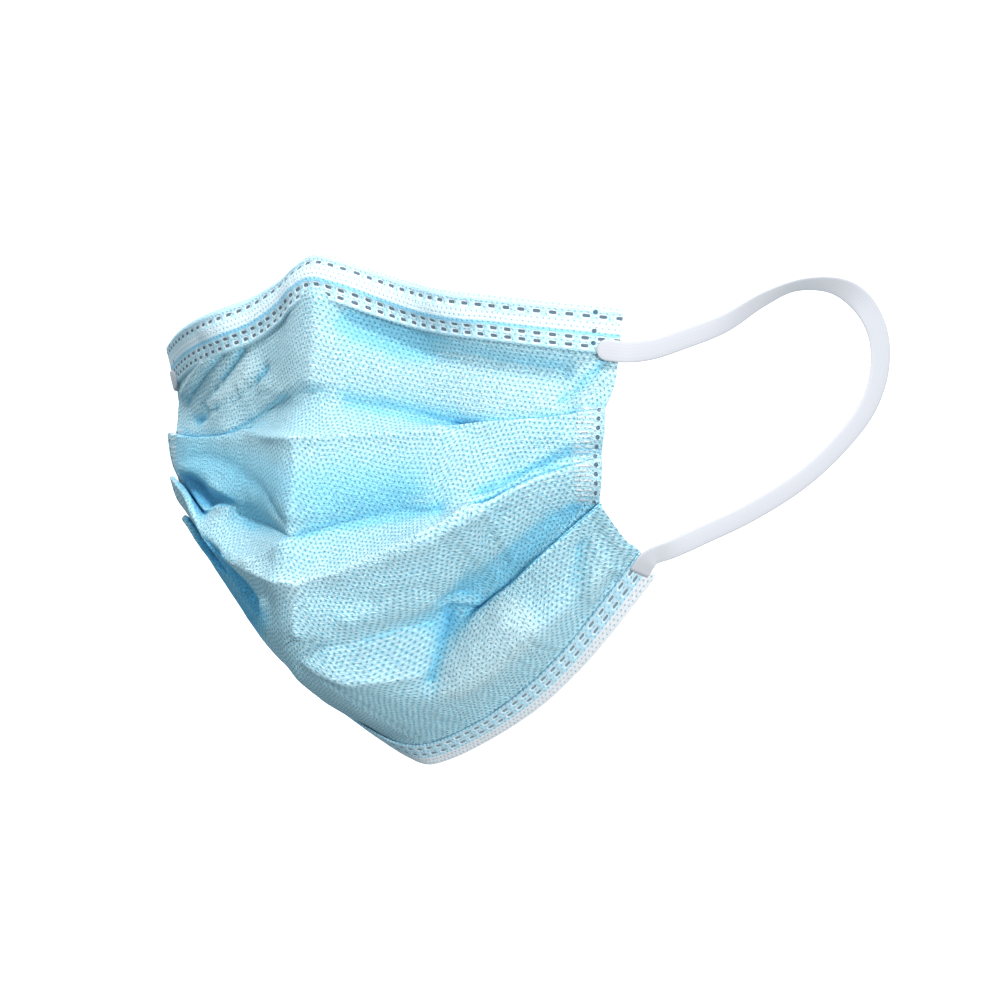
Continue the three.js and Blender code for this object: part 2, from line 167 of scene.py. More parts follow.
# heading turns a loop from sideways, 0, to straight back, 90, and droop lowers it, in degrees;
# overhang is how far past the side edge it turns back.
LOOPS = [
    {"name": "ear_loop_left", "side": 1, "heading": 66, "droop": 0, "overhang": 1.8},
    {"name": "ear_loop_right", "side": -1, "heading": 93, "droop": 12, "overhang": 0.2},
]

# The camera: it looks from the wearer's left front, a little upwards, and the origin lies at
# this pixel of the 1000 by 1000 view.
VIEW_SIZE = 1000
VIEW_TURN = 38.0
VIEW_RISE = 2.4
FOCAL_PIXELS = 3080.0
VIEW_DISTANCE = 765.0
ORIGIN_PIXEL = (318.0, 254.0)
SENSOR_WIDTH = 36.0

# Folds and dents of the cloth, traced in the same view, listed by the parts of the cloth that
# they lie on. depth is in millimetres, outward where it is positive, and wide is half their
# width; a crisp one is creased along its line. shade is painted shade that darkens the cloth,
# or painted light that lightens it below 0.
OPEN_1 = ("panel_1", "strip_1", "panel_2")
OPEN_2 = ("panel_2", "strip_2", "panel_3")
OPEN_3 = ("panel_3", "strip_3", "panel_4")
WRINKLES = {
    ("panel_1",): [
        {"depth": -2.2, "wide": 1.0, "crisp": True, "shade": 0.3,
         "line": [(198, 421), (222, 405), (240, 398), (258, 385), (268, 368)]},
        {"depth": 1.8, "wide": 1.8, "crisp": True, "shade": -0.15,
         "line": [(212, 402), (240, 388), (254, 370)]},
        {"depth": -1.6, "wide": 0.9, "crisp": True, "shade": 0.2,
         "line": [(204, 406), (224, 377), (243, 350)]},
        {"depth": -1.4, "wide": 0.9, "crisp": True, "shade": 0.18,
         "line": [(188, 402), (206, 374), (222, 356)]},
        {"depth": 1.2, "wide": 1.8, "crisp": True, "line": [(240, 427), (268, 412), (285, 392)]},
        {"depth": 0.0, "wide": 7.0, "crisp": False, "shade": -0.14, "line": [(200, 372), (238, 370)]},
        {"depth": 2.0, "wide": 4.0, "crisp": True, "line": [(318, 296), (318, 340), (313, 399)]},
        {"depth": -2.2, "wide": 4.0, "crisp": False,
         "line": [(350, 322), (400, 342), (460, 356), (520, 368), (560, 374)]},
        {"depth": 0.0, "wide": 6.0, "crisp": False, "shade": 0.16,
         "line": [(322, 308), (352, 334), (410, 350)]},
        {"depth": -1.5, "wide": 1.0, "crisp": True, "line": [(562, 401), (584, 384), (604, 363)]},
        {"depth": 1.8, "wide": 1.3, "crisp": True, "line": [(578, 404), (592, 392), (606, 377)]},
        {"depth": 1.6, "wide": 1.6, "crisp": True, "line": [(186, 392), (200, 370), (212, 358)]},
        {"depth": 1.8, "wide": 1.8, "crisp": True, "line": [(214, 412), (246, 398), (266, 384)]},
    ],
    OPEN_1: [
        {"depth": -1.6, "wide": 2.4, "crisp": True, "line": [(345, 401), (400, 410), (440, 420), (470, 429)]},
        {"depth": 2.0, "wide": 2.6, "crisp": True,
         "line": [(232, 434), (262, 438), (300, 441), (345, 438), (400, 436), (440, 432)]},
    ],
    ("panel_2",): [
        {"depth": 1.8, "wide": 4.5, "crisp": True, "line": [(300, 446), (298, 480), (290, 520), (286, 538)]},
        {"depth": -1.2, "wide": 2.2, "crisp": False, "line": [(500, 470), (535, 450), (566, 422)]},
        {"depth": -1.8, "wide": 2.4, "crisp": False,
         "line": [(600, 452), (566, 456), (540, 469), (500, 489), (480, 500), (446, 518)]},
        {"depth": -1.2, "wide": 1.8, "crisp": True, "line": [(192, 452), (225, 462), (262, 490), (280, 520)]},
        {"depth": 0.0, "wide": 10.0, "crisp": False, "shade": 0.24,
         "line": [(190, 462), (300, 492), (400, 486)]},
        {"depth": -3.6, "wide": 2.6, "crisp": False, "shade": 0.7,
         "line": [(192, 486), (204, 502), (224, 508)]},
        {"depth": 1.5, "wide": 1.8, "crisp": True, "line": [(186, 470), (210, 482), (240, 506)]},
    ],
    OPEN_2: [
        {"depth": -2.7, "wide": 3.2, "crisp": True,
         "line": [(232, 512), (262, 524), (286, 538), (300, 534), (340, 523), (400, 510), (440, 508)]},
        {"depth": 2.7, "wide": 3.0, "crisp": True,
         "line": [(225, 556), (248, 569), (280, 581), (300, 583), (340, 573), (400, 550), (440, 529),
                  (470, 512)]},
    ],
    ("strip_2",): [
        {"depth": 1.8, "wide": 2.6, "crisp": True, "line": [(286, 540), (262, 560), (248, 569)]},
    ],
    ("panel_3",): [
        {"depth": -5.0, "wide": 3.8, "crisp": False, "shade": 0.7,
         "line": [(208, 562), (228, 588), (246, 612)]},
        {"depth": 2.0, "wide": 1.5, "crisp": True, "line": [(264, 604), (262, 622), (260, 640)]},
        {"depth": 1.8, "wide": 2.4, "crisp": True, "line": [(298, 585), (297, 620), (300, 652)]},
        {"depth": -1.2, "wide": 2.4, "crisp": True, "line": [(345, 605), (380, 598), (425, 588)]},
        {"depth": 0.9, "wide": 2.4, "crisp": False, "line": [(350, 622), (390, 614), (430, 604)]},
        {"depth": -2.4, "wide": 3.6, "crisp": False,
         "line": [(590, 512), (556, 524), (515, 560), (480, 590), (455, 612)]},
        {"depth": -1.4, "wide": 2.4, "crisp": True, "line": [(505, 505), (490, 535), (480, 560), (465, 590)]},
    ],
    OPEN_3: [
        {"depth": 0.0, "wide": 5.0, "crisp": False, "shade": 0.8,
         "line": [(200, 560), (222, 596), (244, 622)]},
        {"depth": -3.0, "wide": 1.8, "crisp": True, "line": [(452, 612), (447, 632), (440, 655), (430, 682)]},
        {"depth": -1.5, "wide": 2.4, "crisp": True,
         "line": [(436, 622), (400, 630), (360, 640), (320, 648), (302, 655)]},
        {"depth": 2.1, "wide": 2.8, "crisp": True,
         "line": [(302, 657), (320, 668), (350, 679), (390, 676), (420, 672)]},
    ],
    ("strip_3", "panel_4"): [
        {"depth": 2.4, "wide": 5.0, "crisp": False, "shade": -0.4,
         "line": [(458, 664), (480, 646), (508, 622)]},
    ],
    ("panel_4",): [
        {"depth": 2.2, "wide": 3.0, "crisp": True,
         "line": [(437, 690), (470, 678), (500, 658), (520, 640), (560, 608), (600, 570)]},
        {"depth": -2.1, "wide": 2.4, "crisp": True, "line": [(598, 508), (584, 540), (577, 596)]},
        {"depth": 1.2, "wide": 2.6, "crisp": False, "line": [(592, 556), (590, 595)]},
    ],
}

# Patterns of the cloth and the welds, in millimetres.
CRUMPLE = ((18.0, 0.35), (6.0, 0.16), (2.6, 0.08))  # size and height of the soft unevenness
SEAL_WIDTH = 7.7  # side seal, in from the side edge
SEAL_HEIGHTS = (-63.0, -39.5)  # from its lower to its upper end
SEAL_TICK_PITCH = 1.15
SEAL_SPOT_PITCH = 2.2
SEAL_SPOT_INSET = 1.6
TICK_FADE = (0.16, 0.42)  # off the line between two ticks, where a tick fades in
SPOT_FADE = (0.62, 0.4)  # off the middle of a spot, where its mark fades in
RIM_FADE = (1.1, 0.75)
DASH_LENGTH = 1.75
DASH_WIDTH = 0.8
END_COLUMN = 81.5  # across from the middle to the upright column of welds at each end
FAR_OFF = 99.0  # further than any weld row lies from a place on its hem
HEM_DOT_PITCH = 1.4
RIB_PITCH = 0.8
LIT_TOP_REACH = 24.0  # the cloth is painted a little paler this far down from the upper edge, as painted light
# Each layer of fibres: the width and length of a strand, and its turn in degrees.
FIBRES = {"panel": (0.3, 1.3, 52), "crossing": (0.34, 1.1, -48), "clouds": (5.0, 8.0, 0),
          "binding": (0.32, 1.2, 40)}

# How far traced folds may go, and how the painted shade of folds is found, in millimetres and shares.
FREE_LIMIT = 8.0  # the furthest that a fold or dent moves the cloth
FREE_EASE = 3  # rows over which that limit fades in, where another layer ends behind
PART_EASE = 2  # rows over which a fold fades out past the parts of the cloth that it lies on
FACING_FADE = 0.25  # a fold fades out where the cloth turns away from the traced view
LAYER_ROOM = 0.65  # kept between the middles of two layers, a cloth wall and a little air
RAY_LIFT = 0.2  # where a ray starts, off the cloth that it leaves
SHADE_REACH = 20.0  # how far off other cloth still adds painted shade to a fold
SHADE_RAYS = 12
SHADE_LIFT = 0.5
SHADE_RISES = (0.25, 0.95)  # how steeply the rays leave the cloth, 1 being straight out
GOLDEN_TURN = 2.39996  # radians from one ray to the next round the way out
PRESS_SHADE = 0.045  # painted shade that a traced fold adds for each millimetre of its depth inward, painted light outward

# How finely the meshes are made.
CORNER_STEPS = 5
CLOTH_STEP = 0.75  # millimetres between the rows of the cloth
COLUMNS = 201
HEM_COLUMNS = 401
LEG_ROWS = 13
EDGE_ROWS = 9
EDGE_TURN = 75  # degrees either side of straight out through which a hem's rounded edge runs
CORNER_START = 0.7  # share of its round at which a corner's arc starts
CORNER_LIMIT = 0.45  # the most of the way to the next corner that an arc takes
SLOPE_STEP = 0.01  # share of the half width over which the way along a hem is measured
CURVE_STEPS = 40
CURVE_SPANS = (((0, 1), (1, 2), (2, 3)), ((0, 2), (1, 3)), ((1, 2),))  # knots that each blend is between
LOOP_RINGS = 220
LOOP_SIDES = 20
STRIP_RINGS = 121
STRIP_SIDES = 16
STRIP_SAMPLES = 400  # places along the hem at which the strip's length is measured
FULL_WIDE = 0.75  # powers below 1 make a section fuller than an ellipse
FULL_DEEP = 0.6
LOOP_PINCH = 0.35  # share by which a strap is pressed thinner at its welds
LOOP_STAND = 0.35  # share of its thickness that its middle stands off the hem
LOOP_END = 0.02  # square of the share of its width that a strap's end starts with

# The nose strip, and how the leg of the hem that lies on it is lifted, in millimetres. At its
# ends the lift fades out in shares of the half width.
STRIP_HALF_DEPTH = 0.42
STRIP_LIFT = 0.8
STRIP_MARGIN = 0.6
STRIP_SHIFT = 0.4
STRIP_SLOPE = 0.9
STRIP_END_MARGIN = 0.02
STRIP_END_SLOPE = 0.1

# The hems: rows are the heights of the weld rows, and ends the heights of the upright column of
# welds at each end. A band is its two heights, its colour and how strongly it covers the cloth.
# A reversed hem lists its rows back to front, so that the outer side of its wall faces out.
HEMS = [
    {"node": "upper_hem", "material": "spunbond_binding_upper", "height": UPPER_HEM_HEIGHT,
     "lines": ("upper_hem_line", "upper_edge"), "reversed": True, "over_strip": True,
     "rows": (8.9, 3.5, 1.6), "ends": (9.9, 5.4, 2.4), "weld": "#34566A",
     # The band from 4.2 to 5.1 on the upper hem is a painted shadow under the nose strip's ridge.
     "bands": ((-1.0, 4.2, "#B2E2F1", 0.6), (4.2, 5.1, "#7FD3F5", 0.75),
               (5.3, 7.6, "#F6FDFF", 0.7), (7.9, 12.0, "#B9E3F1", 0.6))},
    {"node": "lower_hem", "material": "spunbond_binding_lower", "height": LOWER_HEM_HEIGHT,
     "lines": ("lower_hem_line", "lower_edge"), "reversed": False, "over_strip": False,
     "rows": (1.4, 3.7), "ends": (), "weld": "#5C8496",
     "bands": ((-1.0, 5.0, "#B2DBEA", 0.8), (5.2, 9.0, "#ECE8E8", 0.9))},
]

# The stage, in metres: a paper sweep with a glow of its own, and three lights, each with its
# share of the key light's power.
SWEEP_FRONT = -1.6
SWEEP_BACK = 0.9
SWEEP_ROUND = 0.5
SWEEP_TOP = 2.2
SWEEP_HALF_WIDTH = 2.2
SWEEP_GLOW = 0.7
SKY_BLEND = 0.6  # below and above the horizon, where the surround turns from one colour to the other
LIGHT_SIZE = 0.25
LIGHT_AIM = (0.0, 0.02, -0.06)
LIGHTS = [
    {"name": "key_light", "place": (0.30, -0.55, 0.90), "share": 1.0},
    {"name": "right_light", "place": (0.96, -0.46, -0.10), "share": 0.95},
    {"name": "left_light", "place": (-0.60, 0.15, 0.85), "share": 0.32},
]

# What a shader's sockets hold where a material doesn't say otherwise.
SHADER_VALUES = {"IOR": 1.49, "Specular IOR Level": 0.3, "Sheen Weight": 0.0, "Sheen Roughness": 0.5}


def hex_colour(text):
    """An sRGB hex colour as the linear numbers that a shader takes."""
    shares = [int(text[i:i + 2], 16) / 255 for i in (1, 3, 5)]
    linear = [s / 12.92 if s <= 0.04045 else ((s + 0.055) / 1.055) ** 2.4 for s in shares]
    return (*linear, 1.0)


class ClothSettings(bpy.types.PropertyGroup):
    """Sizes and colours of the pleated panel"""

    wall: bpy.props.FloatProperty(
        name="Cloth Thickness", description="All three plies together", default=0.5 * MM, unit="LENGTH")
    layer_pitch: bpy.props.FloatProperty(
        name="Layer Pitch", description="Middle to middle of two layers of a shut pleat",
        default=1.1 * MM, unit="LENGTH")
    open_pitch: bpy.props.FloatProperty(
        name="Open Fold", description="Cloth that turns over an opened fold", default=1.8 * MM, unit="LENGTH")
    dot_pitch: bpy.props.FloatProperty(
        name="Dot Pitch", description="Between bonding points along a row", default=1.4 * MM, unit="LENGTH")
    colour: bpy.props.FloatVectorProperty(
        name="Colour", description="Dyed outer ply", subtype="COLOR", size=4, min=0, max=1,
        default=hex_colour("#ABE6F5"))


class HemSettings(bpy.types.PropertyGroup):
    """Sizes and colours of the bound edges"""

    wall: bpy.props.FloatProperty(
        name="Binding Thickness", description="One leg of a hem", default=0.5 * MM, unit="LENGTH")
    leg_gap: bpy.props.FloatProperty(
        name="Leg Spread", description="Middle of the hem to the middle of a leg",
        default=0.85 * MM, unit="LENGTH")
    dash_pitch: bpy.props.FloatProperty(
        name="Weld Pitch", description="Between the dashes of a weld row", default=3.7 * MM, unit="LENGTH")
    colour: bpy.props.FloatVectorProperty(
        name="Colour", description="Undyed folded ply", subtype="COLOR", size=4, min=0, max=1,
        default=hex_colour("#D8F1F8"))


class LoopSettings(bpy.types.PropertyGroup):
    """Sizes and colours of the ear loops"""

    width: bpy.props.FloatProperty(
        name="Elastic Width", description="Across the flat strap", default=5.2 * MM, unit="LENGTH")
    thickness: bpy.props.FloatProperty(
        name="Elastic Thickness", description="Through the strap", default=0.7 * MM, unit="LENGTH")
    colour: bpy.props.FloatVectorProperty(
        name="Colour", description="Bleached elastic", subtype="COLOR", size=4, min=0, max=1,
        default=hex_colour("#BEBCC0"))


class StageSettings(bpy.types.PropertyGroup):
    """Floor and lights"""

    drop: bpy.props.FloatProperty(
        name="Floor Drop", description="Floor below the mask's origin", default=0.34, unit="LENGTH")
    key: bpy.props.FloatProperty(
        name="Key Light", description="Power of the large light", default=10.5, unit="POWER", min=0)
    surround: bpy.props.FloatProperty(
        name="Surround", description="Strength of the even light all round", default=0.78, min=0)


def column(values, share, stops=ACROSS):
    """Values of a table column at shares of the way from the middle to the side."""
    values = np.asarray(values, float)
    stops = np.asarray(stops, float)
    slopes = np.zeros(len(stops))
    slopes[1:-1] = (values[2:] - values[:-2]) / (stops[2:] - stops[:-2])
    slopes[-1] = (values[-1] - values[-2]) / (stops[-1] - stops[-2])
    share = np.asarray(share, float)
    k = np.clip(np.searchsorted(stops, share, side="left") - 1, 0, len(stops) - 2)
    span = stops[k + 1] - stops[k]
    t = (share - stops[k]) / span
    start = (2 * t**3 - 3 * t**2 + 1) * values[k] + (t**3 - 2 * t**2 + t) * span * slopes[k]
    end = (3 * t**2 - 2 * t**3) * values[k + 1] + (t**3 - t**2) * span * slopes[k + 1]
    return start + end


def unit(vectors):
    """The same ways at length 1."""
    lengths = np.linalg.norm(vectors, axis=-1, keepdims=True)
    return vectors / np.maximum(lengths, 1e-12)


def dot(a, b):
    """The share of one way in another, for each pair."""
    return (a * b).sum(-1, keepdims=True)


def smooth(x, low, high):
    """0 up to low and 1 from high on, with a soft rise between them."""
    t = np.clip((x - low) / (high - low), 0, 1)
    return t * t * (3 - 2 * t)


def line_points(name, share):
    """Points of a line across the mask, at shares of the way from the middle to the side."""
    line = LINES[name]
    return np.stack([
        line["half"] * HALF_WIDTH * share,
        column(line["back"], share) * WORN_DEPTH,
        -column(line["down"], share) * WORN_HEIGHT], -1)


def across_direction(share):
    """The level way along the cloth at each share."""
    angle = np.radians(column(FACING, share))
    return np.stack([np.cos(angle), np.sin(angle), np.zeros_like(angle)], -1)


def hem_frame(root_name, edge_name, share):
    """Root line, the way to the outer edge, the way along and the way out, at each share."""
    root = line_points(root_name, share)
    rise = unit(line_points(edge_name, share) - root)
    before = line_points(root_name, np.maximum(share - SLOPE_STEP, 0))
    after = line_points(root_name, np.minimum(share + SLOPE_STEP, 1))
    along = unit(after - before)
    along[share < SLOPE_STEP] = (1, 0, 0)
    out = np.cross(along, rise)
    out[out[:, 1] > 0] *= -1
    return {"root": root, "rise": rise, "along": along, "out": unit(out)}


def pleat_corners(name, before, after, share, pitch, open_pitch):
    """The five corners of one pleat, in the order in which the cloth passes them."""
    outer = line_points(name, share)
    pleat = PLEATS[name]
    opened = np.clip(column(pleat["open"], share), 0, 1)[:, None]
    above = line_points(before, share)
    run = line_points(after, share) - (outer * (1 - opened) + above * opened)
    across = across_direction(share)
    run = unit(run - across * dot(run, across))
    out = np.cross(run, across)
    inner = (outer + run * column(pleat["along"], share)[:, None] * PLEAT_DEPTH
             - out * column(pleat["under"], share)[:, None] * PLEAT_DEPTH)
    turn = opened * math.pi / 2
    half = (pitch * (1 - opened) + open_pitch * opened) / 2
    reach = out * half * np.cos(turn) + run * half * np.sin(turn)
    bend = (pitch / 2 * (1 - opened) + open_pitch * opened)[:, 0]
    straight = (inner - reach) * (1 - OPEN_GUIDE) + above * OPEN_GUIDE
    weight = np.minimum(opened * 2, 1)
    guide = (outer - out * pitch * GUIDE_DEPTH) * (1 - weight) + straight * weight
    return [(guide, GUIDE_ROUND), (inner - reach, bend), (inner + reach, bend),
            (outer - reach, bend), (outer + reach, bend)]


def panel_corners(share, pitch, open_pitch):
    """Corners of the cloth from inside the upper hem to inside the lower, and each one's panel."""
    upper = hem_frame("upper_hem_line", "upper_edge", share)
    lower = hem_frame("lower_hem_line", "lower_edge", share)
    corners = [(upper["root"] + upper["rise"] * UPPER_TUCK, 0, "upper_tuck"),
               (upper["root"] - upper["rise"] * HEM_LEAD, HEM_ROUND, "panel_1"),
               (line_points("panel_1", share), PANEL_ROUND, "panel_1")]
    steps = [("fold_1", "panel_1", "panel_2", 1), ("fold_2", "panel_2", "panel_3", 2),
             ("fold_3", "panel_3", "chin_bend", 3)]
    for fold, before, after, number in steps:
        strip = f"strip_{number}"
        names = [f"panel_{number}", strip, strip, strip, f"panel_{number + 1}"]
        pleat = pleat_corners(fold, before, after, share, pitch, open_pitch)
        corners += [(point, bend, name) for (point, bend), name in zip(pleat, names)]
        corners.append((line_points(after, share), PANEL_ROUND, f"panel_{number + 1}"))
    corners += [(line_points("under_chin", share), CHIN_ROUND, "panel_4"),
                (lower["root"] - lower["rise"] * HEM_LEAD, HEM_ROUND, "panel_4"),
                (lower["root"] + lower["rise"] * LOWER_TUCK, 0, "lower_tuck")]
    return corners


def rounded_rows(corners):
    """Rows of points down the cloth, each corner turned into a short arc, and each row's panel."""
    points = [c[0] for c in corners]
    rows = [points[0]]
    names = [corners[0][2]]
    leave = points[0]
    for k in range(1, len(points)):
        here = points[k]
        if k < len(points) - 1:
            back = points[k - 1] - here
            ahead = points[k + 1] - here
            back_limit = np.linalg.norm(back, axis=1) * CORNER_LIMIT
            ahead_limit = np.linalg.norm(ahead, axis=1) * CORNER_LIMIT
            reach = np.asarray(corners[k][1], float) * CORNER_START
            start = here + unit(back) * np.minimum(reach, back_limit)[:, None]
            end = here + unit(ahead) * np.minimum(reach, ahead_limit)[:, None]
        else:
            start = here
        count = max(1, math.ceil(np.linalg.norm(start - leave, axis=1).mean() / CLOTH_STEP))
        for i in range(1, count + 1):
            rows.append(leave + (start - leave) * i / count)
            names.append(corners[k][2] if corners[k][2] != "lower_tuck" else "panel_4")
        if k < len(points) - 1:
            for i in range(1, CORNER_STEPS + 1):
                t = i / CORNER_STEPS
                rows.append(start * (1 - t)**2 + here * 2 * t * (1 - t) + end * t**2)
                names.append(corners[k][2] if t < 0.5 else corners[k + 1][2])
            leave = end
    return np.array(rows), names


def camera_frame():
    """Camera place in millimetres, and its right, up and forward directions."""
    turn = math.radians(VIEW_TURN)
    rise = math.radians(VIEW_RISE)
    forward = Vector((-math.sin(turn) * math.cos(rise), math.cos(turn) * math.cos(rise), math.sin(rise)))
    right = Vector((math.cos(turn), math.sin(turn), 0))
    up = right.cross(forward)
    aside = (ORIGIN_PIXEL[0] - VIEW_SIZE / 2) * VIEW_DISTANCE / FOCAL_PIXELS
    above = (VIEW_SIZE / 2 - ORIGIN_PIXEL[1]) * VIEW_DISTANCE / FOCAL_PIXELS
    return -(right * aside + up * above + forward * VIEW_DISTANCE), right, up, forward


def seen_at(points):
    """Pixels of the traced view at which points in millimetres lie."""
    place, right, up, forward = (np.array(vector) for vector in camera_frame())
    offset = points - place
    depth = offset @ forward
    x = VIEW_SIZE / 2 + FOCAL_PIXELS * (offset @ right) / depth
    y = VIEW_SIZE / 2 - FOCAL_PIXELS * (offset @ up) / depth
    return np.stack([x, y], -1)


def distance_to_line(pixels, line):
    """Distance in pixels from each pixel to a traced line."""
    nearest = np.full(pixels.shape[:-1], 1e9)
    for a, b in zip(line, line[1:]):
        a = np.array(a, float)
        span = np.array(b, float) - a
        t = np.clip(((pixels - a) @ span) / (span @ span), 0, 1)
        nearest = np.minimum(nearest, np.linalg.norm(pixels - a - t[..., None] * span, axis=-1))
    return nearest


def grid_normals(grid):
    """The way out of the cloth at each point of a grid."""
    down = np.gradient(grid, axis=0)
    over = np.gradient(grid, axis=1)
    return unit(np.cross(down, over))


def grid_quads(index):
    """The corners of each face between the rows and columns of a grid of point numbers."""
    return np.stack([index[:-1, :-1], index[1:, :-1], index[1:, 1:], index[:-1, 1:]], -1).reshape(-1, 4)


def cloth_tree(grid):
    """A tree that rays can be cast against, of the faces of a grid of points."""
    quads = grid_quads(np.arange(grid[..., 0].size).reshape(grid.shape[:2]))
    return BVHTree.FromPolygons([tuple(p) for p in grid.reshape(-1, 3)], quads.tolist())


def free_space(tree, grid, ways):
    """How far each place may move the given way, if the next layer of cloth moves as far to meet it."""
    room = np.full(grid.shape[:2], FREE_LIMIT)
    for spot in np.ndindex(room.shape):
        way = Vector(ways[spot])
        far = tree.ray_cast(Vector(grid[spot]) + way * RAY_LIFT, way, FREE_LIMIT * 2)[3]
        if far is not None:
            room[spot] = np.clip((far + RAY_LIFT - LAYER_ROOM) / 2, 0, FREE_LIMIT)
    for average in (np.min, np.mean):
        padded = np.pad(room, FREE_EASE, mode="edge")
        windows = np.lib.stride_tricks.sliding_window_view(padded, (2 * FREE_EASE + 1, 2 * FREE_EASE + 1))
        room = average(windows, (-1, -2))
    return room


def wrinkled(grid, names):
    """The cloth with its traced folds and dents pressed in, and the painted shade they lay on each place."""
    pixels = seen_at(grid)
    normals = grid_normals(grid)
    place = np.array(camera_frame()[0])
    facing = (normals * unit(place - grid)).sum(-1)
    shift = np.zeros(grid.shape[:2])
    shade = np.zeros(grid.shape[:2])
    scale = FOCAL_PIXELS / VIEW_DISTANCE
    window = np.full(2 * PART_EASE + 1, 1 / (2 * PART_EASE + 1))
    for parts, wrinkles in WRINKLES.items():
        part = np.array([name in parts for name in names], float)
        part = np.convolve(np.pad(part, PART_EASE, mode="edge"), window, mode="valid")[:, None]
        for wrinkle in wrinkles:
            far = distance_to_line(pixels, wrinkle["line"]) / scale / wrinkle["wide"]
            near = np.exp(-far if wrinkle["crisp"] else -far**2)
            press = wrinkle["depth"] * near * smooth(facing, 0.0, FACING_FADE) * part
            shift += press
            shade += wrinkle.get("shade", 0) * near * part - press * PRESS_SHADE
    for size, height in CRUMPLE:
        for i, row in enumerate(grid):
            shift[i] += [height * noise.noise(Vector(point) / size) for point in row]
    tree = cloth_tree(grid)
    shift = np.clip(shift, -free_space(tree, grid, -normals), free_space(tree, grid, normals))
    return grid + normals * shift[..., None], shade


def painted_occlusion(grid):
    """How far each place lies in a fold, painted as shade: the share of the ways out that other cloth closes
    off.
    """
    points = grid.reshape(-1, 3)
    tree = cloth_tree(grid)
    normals = grid_normals(grid).reshape(-1, 3)
    lowest, highest = SHADE_RISES
    ways = []
    for k in range(SHADE_RAYS):
        rise = lowest + (highest - lowest) * (k + 0.5) / SHADE_RAYS
        turn = k * GOLDEN_TURN
        lean = math.sqrt(1 - rise * rise)
        ways.append((lean * math.cos(turn), lean * math.sin(turn), rise))
    closed = np.zeros(len(points))
    for i, (point, normal) in enumerate(zip(points, normals)):
        way_out = Vector(normal)
        aside = way_out.orthogonal().normalized()
        other = way_out.cross(aside)
        start = Vector(point) + way_out * SHADE_LIFT
        for x, y, z in ways:
            far = tree.ray_cast(start, aside * x + other * y + way_out * z, SHADE_REACH)[3]
            if far is not None:
                closed[i] += 1 - far / SHADE_REACH
    return (closed / SHADE_RAYS).reshape(grid.shape[:2])


def mirrored(rows, shares):
    """Rows made for the wearer's left, turned over to the right where the share is below 0."""
    rows = np.array(rows)
    rows[..., 0] *= np.where(shares < 0, -1, 1)
    return rows


def new_mesh(name, points, faces, flat):
    """A smooth mesh of points in millimetres, mapped by each one's place on the flat cloth."""
    mesh = bpy.data.meshes.new(name)
    mesh.from_pydata((points * MM).tolist(), [], faces)
    corners = np.zeros(len(mesh.loops), np.int32)
    mesh.loops.foreach_get("vertex_index", corners)
    layer = mesh.uv_layers.new(name="cloth")
    layer.data.foreach_set("uv", flat[corners].astype(np.float32).reshape(-1))
    mesh.polygons.foreach_set("use_smooth", [True] * len(mesh.polygons))
    mesh.update()
    return mesh


def wall_mesh(name, grid, thickness, across, down):
    """A closed cloth wall about a grid of middle points in millimetres."""
    half = grid_normals(grid) * thickness / 2
    points = np.concatenate([(grid + half).reshape(-1, 3), (grid - half).reshape(-1, 3)])
    front = np.arange(grid[..., 0].size).reshape(grid.shape[:2])
    back = front + front.size
    faces = [grid_quads(front), grid_quads(back)[:, [0, 3, 2, 1]]]
    for near, far, flip in ((front[:, 0], back[:, 0], False), (front[:, -1], back[:, -1], True),
                            (front[0], back[0], True), (front[-1], back[-1], False)):
        edge = np.stack([near[:-1], far[:-1], far[1:], near[1:]], -1)
        faces.append(edge[:, ::-1] if flip else edge)
    flat = np.stack([across, down], -1).reshape(-1, 2)
    return new_mesh(name, points, np.concatenate(faces).tolist(), np.concatenate([flat, flat]))


def strap_mesh(name, rings, across, along):
    """A closed tube from rings of points in millimetres, with its two ends filled."""
    count, sides = rings.shape[:2]
    index = np.arange(count * sides).reshape(count, sides)
    closed = np.concatenate([index, index[:, :1]], axis=1)
    faces = grid_quads(closed)[:, [0, 3, 2, 1]].tolist()
    faces += [index[0, ::-1].tolist(), index[-1].tolist()]
    flat = np.stack([across, along], -1).reshape(-1, 2)
    return new_mesh(name, rings.reshape(-1, 3), faces, flat)


def add_piece(mesh, nodes, materials):
    """An object for a mesh that stands for the part's nodes and moves with its body."""
    piece = bpy.data.objects.new(mesh.name, mesh)
    bpy.context.scene.collection.objects.link(piece)
    for material in materials:
        mesh.materials.append(material)
    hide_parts(*nodes)
    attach(piece, BODY)
    return piece


def path_lengths(grid):
    """How far each point lies down the cloth from the first row."""
    steps = np.linalg.norm(np.diff(grid, axis=0), axis=-1)
    return np.concatenate([np.zeros((1, grid.shape[1])), np.cumsum(steps, axis=0)])


def add_node(tree, kind, inputs=(), output=0, **settings):
    """A shader node with its settings; each input is a value, or the socket to link there."""
    made = tree.nodes.new("ShaderNode" + kind)
    for name, value in settings.items():
        setattr(made, name, value)
    pairs = inputs.items() if isinstance(inputs, dict) else enumerate(inputs)
    for key, value in pairs:
        if isinstance(value, bpy.types.NodeSocket):
            tree.links.new(value, made.inputs[key])
        else:
            made.inputs[key].default_value = value
    return made.outputs[output]


def new_material(name, values):
    """A material with values on its shader's sockets, and the function that adds nodes to it."""
    material = bpy.data.materials.new(name)
    material.use_nodes = True
    tree = material.node_tree
    for socket, value in {**SHADER_VALUES, **values}.items():
        tree.nodes["Principled BSDF"].inputs[socket].default_value = value
    return material, partial(add_node, tree)


def finish_material(material, colour, height, strength, depth):
    """The material with its colour and a relief, this many millimetres deep, on its shader."""
    tree = material.node_tree
    inputs = tree.nodes["Principled BSDF"].inputs
    relief = add_node(tree, "Bump", {"Height": height, "Strength": strength, "Distance": depth * MM})
    tree.links.new(colour, inputs["Base Color"])
    tree.links.new(relief, inputs["Normal"])
    return material


